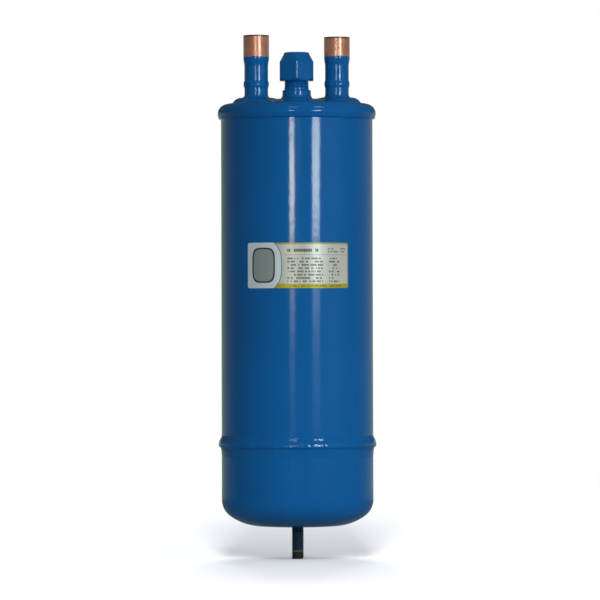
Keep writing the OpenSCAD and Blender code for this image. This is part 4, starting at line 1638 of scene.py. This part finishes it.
@dataclass
class Studio:
    """Camera, lamps, surroundings and floor. Lengths are metres, but the lens and sensor are millimetres."""

    lens: float = 269.0
    sensor: float = 36.0
    sight: float = 50.0
    distance: float = 3.0
    camera_z: float = 0.1362
    look_at: tuple[float, float, float] = (0.0019, 0.0, 0.1516)
    roll: float = 0.15
    white: Colour = (1.0, 1.0, 1.0, 1.0)
    fill: tuple[float, float] = (0.18, 0.46)
    fill_top: float = 0.5
    room: tuple[float, float] = (0.08, 0.34)
    room_tint: Colour = (0.86, 1.14, 0.92, 1.0)
    room_turn: tuple[float, float] = (0.1, 0.97)
    room_horizon: tuple[float, float] = (0.04, 0.12)
    backdrop: tuple[float, float] = (0.96, 1.0)
    floor_z: float = -0.0215
    floor_r: float = 8.0
    floor_steps: int = 64
    floor_pale: Colour = (0.93, 0.955, 1.0, 1.0)
    floor_fade: tuple[float, float] = (0.55, 1.3)
    floor_bounce: tuple[float, float] = (0.42, 0.03)
    bounce_fade: tuple[float, float] = (0.12, 0.45)
    floor_mirror: tuple[float, float] = (0.2, 1.0)
    mirror_fade: tuple[float, float] = (0.3, 1.5)
    lamps: tuple[Lamp, ...] = (
        Lamp("left_window_high", -7.3, 0.0, 2.2, 0.27, 0.11, 0.95, (0.0, 0.0, 0.47), (1.0, 1.0, 0.9)),
        Lamp("left_window", -7.3, 0.0, 2.2, 0.27, 0.12, 1.5, (0.0, 0.0, 0.3065), (1.0, 1.0, 0.84)),
        Lamp("left_window_low", -7.3, 0.0, 2.2, 0.27, 0.11, 0.21, (0.0, 0.0, 0.192), (1.0, 1.0, 0.84)),
        Lamp("left_window_foot", -7.3, 0.0, 2.2, 0.27, 0.12, 0.035, (0.0, 0.0, 0.077), (1.0, 1.0, 0.84)),
        Lamp("right_window_high", 30.0, 0.0, 2.2, 0.38, 0.11, 3.2, (0.0, 0.0, 0.47), (0.9, 1.0, 1.0)),
        Lamp("right_window", 28.4, 0.0, 2.2, 0.42, 0.12, 2.1, (0.0, 0.0, 0.3065), (0.86, 1.0, 1.0)),
        Lamp("right_window_low", 28.4, 0.0, 2.2, 0.42, 0.11, 0.25, (0.0, 0.0, 0.192), (0.86, 1.0, 1.0)),
        Lamp("right_window_foot", 28.4, 0.0, 2.2, 0.42, 0.12, 0.06, (0.0, 0.0, 0.077), (0.86, 1.0, 1.0)),
        Lamp("left_skylight", -6.5, 44.0, 2.2, 0.4, 0.1, 0.8, (0.0, 0.0, 0.28)),
        Lamp("right_skylight", 38.0, 43.0, 2.2, 0.36, 0.12, 2.0, (0.0, 0.0, 0.28)),
        Lamp("front_key", 3.0, 8.0, 2.2, 0.3, 0.4, 25.0, mirrored=False, reach=Reach.OBJECT),
        Lamp("side_key", 55.0, 8.0, 2.4, 1.4, 1.0, 20.0, mirrored=False, reach=Reach.OBJECT),
        Lamp("back_key", 192.0, 14.0, 2.4, 1.6, 0.8, 36.0, mirrored=False, reach=Reach.OBJECT),
        Lamp("overhead", 0.0, 89.0, 1.9, 1.2, 3.2, 3.0, mirrored=False, reach=Reach.OBJECT),
        Lamp("floor_front", 0.0, 25.0, 2.5, 0.3, 1.3, 70.0, mirrored=False, reach=Reach.FLOOR),
        Lamp("floor_back", 180.0, 40.0, 2.5, 0.9, 1.8, 42.0, mirrored=False, reach=Reach.FLOOR),
    )

    def build(self) -> None:
        """Make the camera, the world, the floor and the lamps."""
        self.make_camera()
        self.make_world()
        floor = self.make_floor()
        for lamp in self.lamps:
            lamp.build(floor)
        bpy.context.scene.view_settings.view_transform = "Standard"

    def make_camera(self) -> None:
        """Camera in front, almost level, turned by the photograph's slight roll."""
        data = bpy.data.cameras.new("front_camera")
        data.lens, data.sensor_width, data.clip_end = self.lens, self.sensor, self.sight
        camera = bpy.data.objects.new("front_camera", data)
        eye = Vector((self.look_at[0], -self.distance, self.camera_z))
        aim = (eye - Vector(self.look_at)).to_track_quat("Z", "Y").to_matrix().to_4x4()
        lean = Matrix.Rotation(math.radians(-self.roll), 4, "Z")
        camera.matrix_world = Matrix.Translation(eye) @ aim @ lean
        bpy.context.scene.collection.objects.link(camera)
        bpy.context.scene.camera = camera

    @staticmethod
    def mirrored(g: Graph, path: bpy.types.Node) -> Socket:
        """Mask of what is seen in a reflection or through glass, from a Light Path node."""
        return g.math("MAXIMUM", path.outputs["Is Glossy Ray"], path.outputs["Is Transmission Ray"])

    def make_world(self) -> None:
        """White to the camera, the room to reflections, and to the rest a fill, weaker left and above."""
        world = bpy.data.worlds.new("studio")
        g = Graph.of(world)
        path = g.add("ShaderNodeLightPath")
        across, ahead, up = g.axes(g.add("ShaderNodeTexCoord").outputs["Generated"])
        fill = g.math("MULTIPLY", g.level(g.step(across, -1.0, 1.0), *self.fill),
                      g.level(g.step(up, 0.0, 1.0), 1.0, self.fill_top))
        low = g.math("SUBTRACT", 1.0, g.step(up, *self.room_horizon))
        around = g.blend(self.mirrored(g, path), fill, self.room_colour(g, ahead, low))
        colour = g.blend(path.outputs["Is Camera Ray"], around, self.white)
        back = g.add("ShaderNodeBackground", {"Color": colour})
        g.add("ShaderNodeOutputWorld", {"Surface": back.outputs[0]})
        bpy.context.scene.world = world

    def room_colour(self, g: Graph, ahead: Socket, low: Socket) -> Socket:
        """Colour of the room in a reflection: dim in front and above, paler behind, white straight behind.

        Args:
            g: the graph that takes the nodes.
            ahead: how far the reflection looks to the back, from -1 to 1.
            low: 1 near the floor, 0 where the reflection looks up.

        Returns:
            The colour.
        """
        pale = g.level(g.math("MULTIPLY", g.step(ahead, *self.room_turn), low), *self.room)
        dim = g.blend(1.0, pale, self.room_tint, "MULTIPLY")
        return g.blend(g.math("MULTIPLY", g.step(ahead, *self.backdrop), low), dim, self.white)

    def make_floor(self) -> bpy.types.Object:
        """Pale floor, a disc that takes the shadow near the object and goes over to white far out.

        Reflections see the room in its place, other light sees a darker floor, and it is clear from below.

        Returns:
            The floor.
        """
        a = round_steps(self.floor_steps)
        rim = self.floor_r * np.column_stack((np.cos(a), np.sin(a)))
        points = np.column_stack((rim, np.full(len(a), self.floor_z)))
        mesh = bpy.data.meshes.new("floor")
        mesh.from_pydata(points.tolist(), [], [list(range(len(a)))])
        floor = bpy.data.objects.new("floor", mesh)
        bpy.context.scene.collection.objects.link(floor)
        material = bpy.data.materials.new("pale_floor")
        g = Graph.of(material)
        place = g.add("ShaderNodeTexCoord").outputs["Object"]
        out = g.add("ShaderNodeVectorMath", {0: place}, operation="LENGTH").outputs["Value"]
        path = g.add("ShaderNodeLightPath")
        seen = path.outputs["Is Camera Ray"]
        far = g.math("ADD", g.math("MULTIPLY", g.step(out, *self.floor_fade), seen), self.mirrored(g, path))
        bounce = g.level(g.step(out, *self.bounce_fade), *self.floor_bounce)
        pale = g.add("ShaderNodeBsdfDiffuse", {"Color": g.blend(seen, bounce, self.floor_pale)})
        low = g.level(g.step(out, *self.mirror_fade), *self.floor_mirror)
        room = self.room_colour(g, g.math("DIVIDE", g.axes(place)[1], out), low)
        white = g.add("ShaderNodeEmission", {"Color": g.blend(seen, room, self.white), "Strength": 1.0})
        mixed = g.add("ShaderNodeMixShader", {0: far, 1: pale.outputs[0], 2: white.outputs[0]})
        under = g.add("ShaderNodeNewGeometry").outputs["Backfacing"]
        clear = g.add("ShaderNodeBsdfTransparent")
        sided = g.add("ShaderNodeMixShader", {0: under, 1: mixed.outputs[0], 2: clear.outputs[0]})
        g.add("ShaderNodeOutputMaterial", {"Surface": sided.outputs[0]})
        mesh.materials.append(material)
        return floor


def main() -> None:
    """Build every sub-assembly in order, then the studio."""
    logging.basicConfig(level=logging.INFO, format="%(name)s: %(message)s")
    effects, enamel = Effects(), Enamel()
    blue = EnamelFinish(enamel, effects)
    Vessel().build(blue)
    for pipe in (Connection(Side.INLET, INLET_TOP), Connection(Side.OUTLET, OUTLET_TOP)):
        copper = CopperFinish(enamel, effects, pipe.paint_z * MM, pipe.top_z * MM, f"{pipe.name}_copper")
        pipe.build(blue, copper)
    OilReturn().build(blue)
    FixingStud().build(StudFinish(effects))
    label = RatingLabel()
    label.build(LabelFinish(effects, label.width, label.height))
    steel = MetalFinish("bright_steel", effects, ((188, 190, 192), (150, 153, 156)), (0.28, 0.45))
    brass = MetalFinish("turned_brass", effects, ((206, 172, 104), (176, 140, 76)), (0.22, 0.4))
    tube = MetalFinish("tube_copper", effects, ((206, 136, 106), (176, 106, 80)), (0.25, 0.42))
    Inside().build(steel, brass, tube)
    Studio().build()


if __name__ == "__main__":
    main()
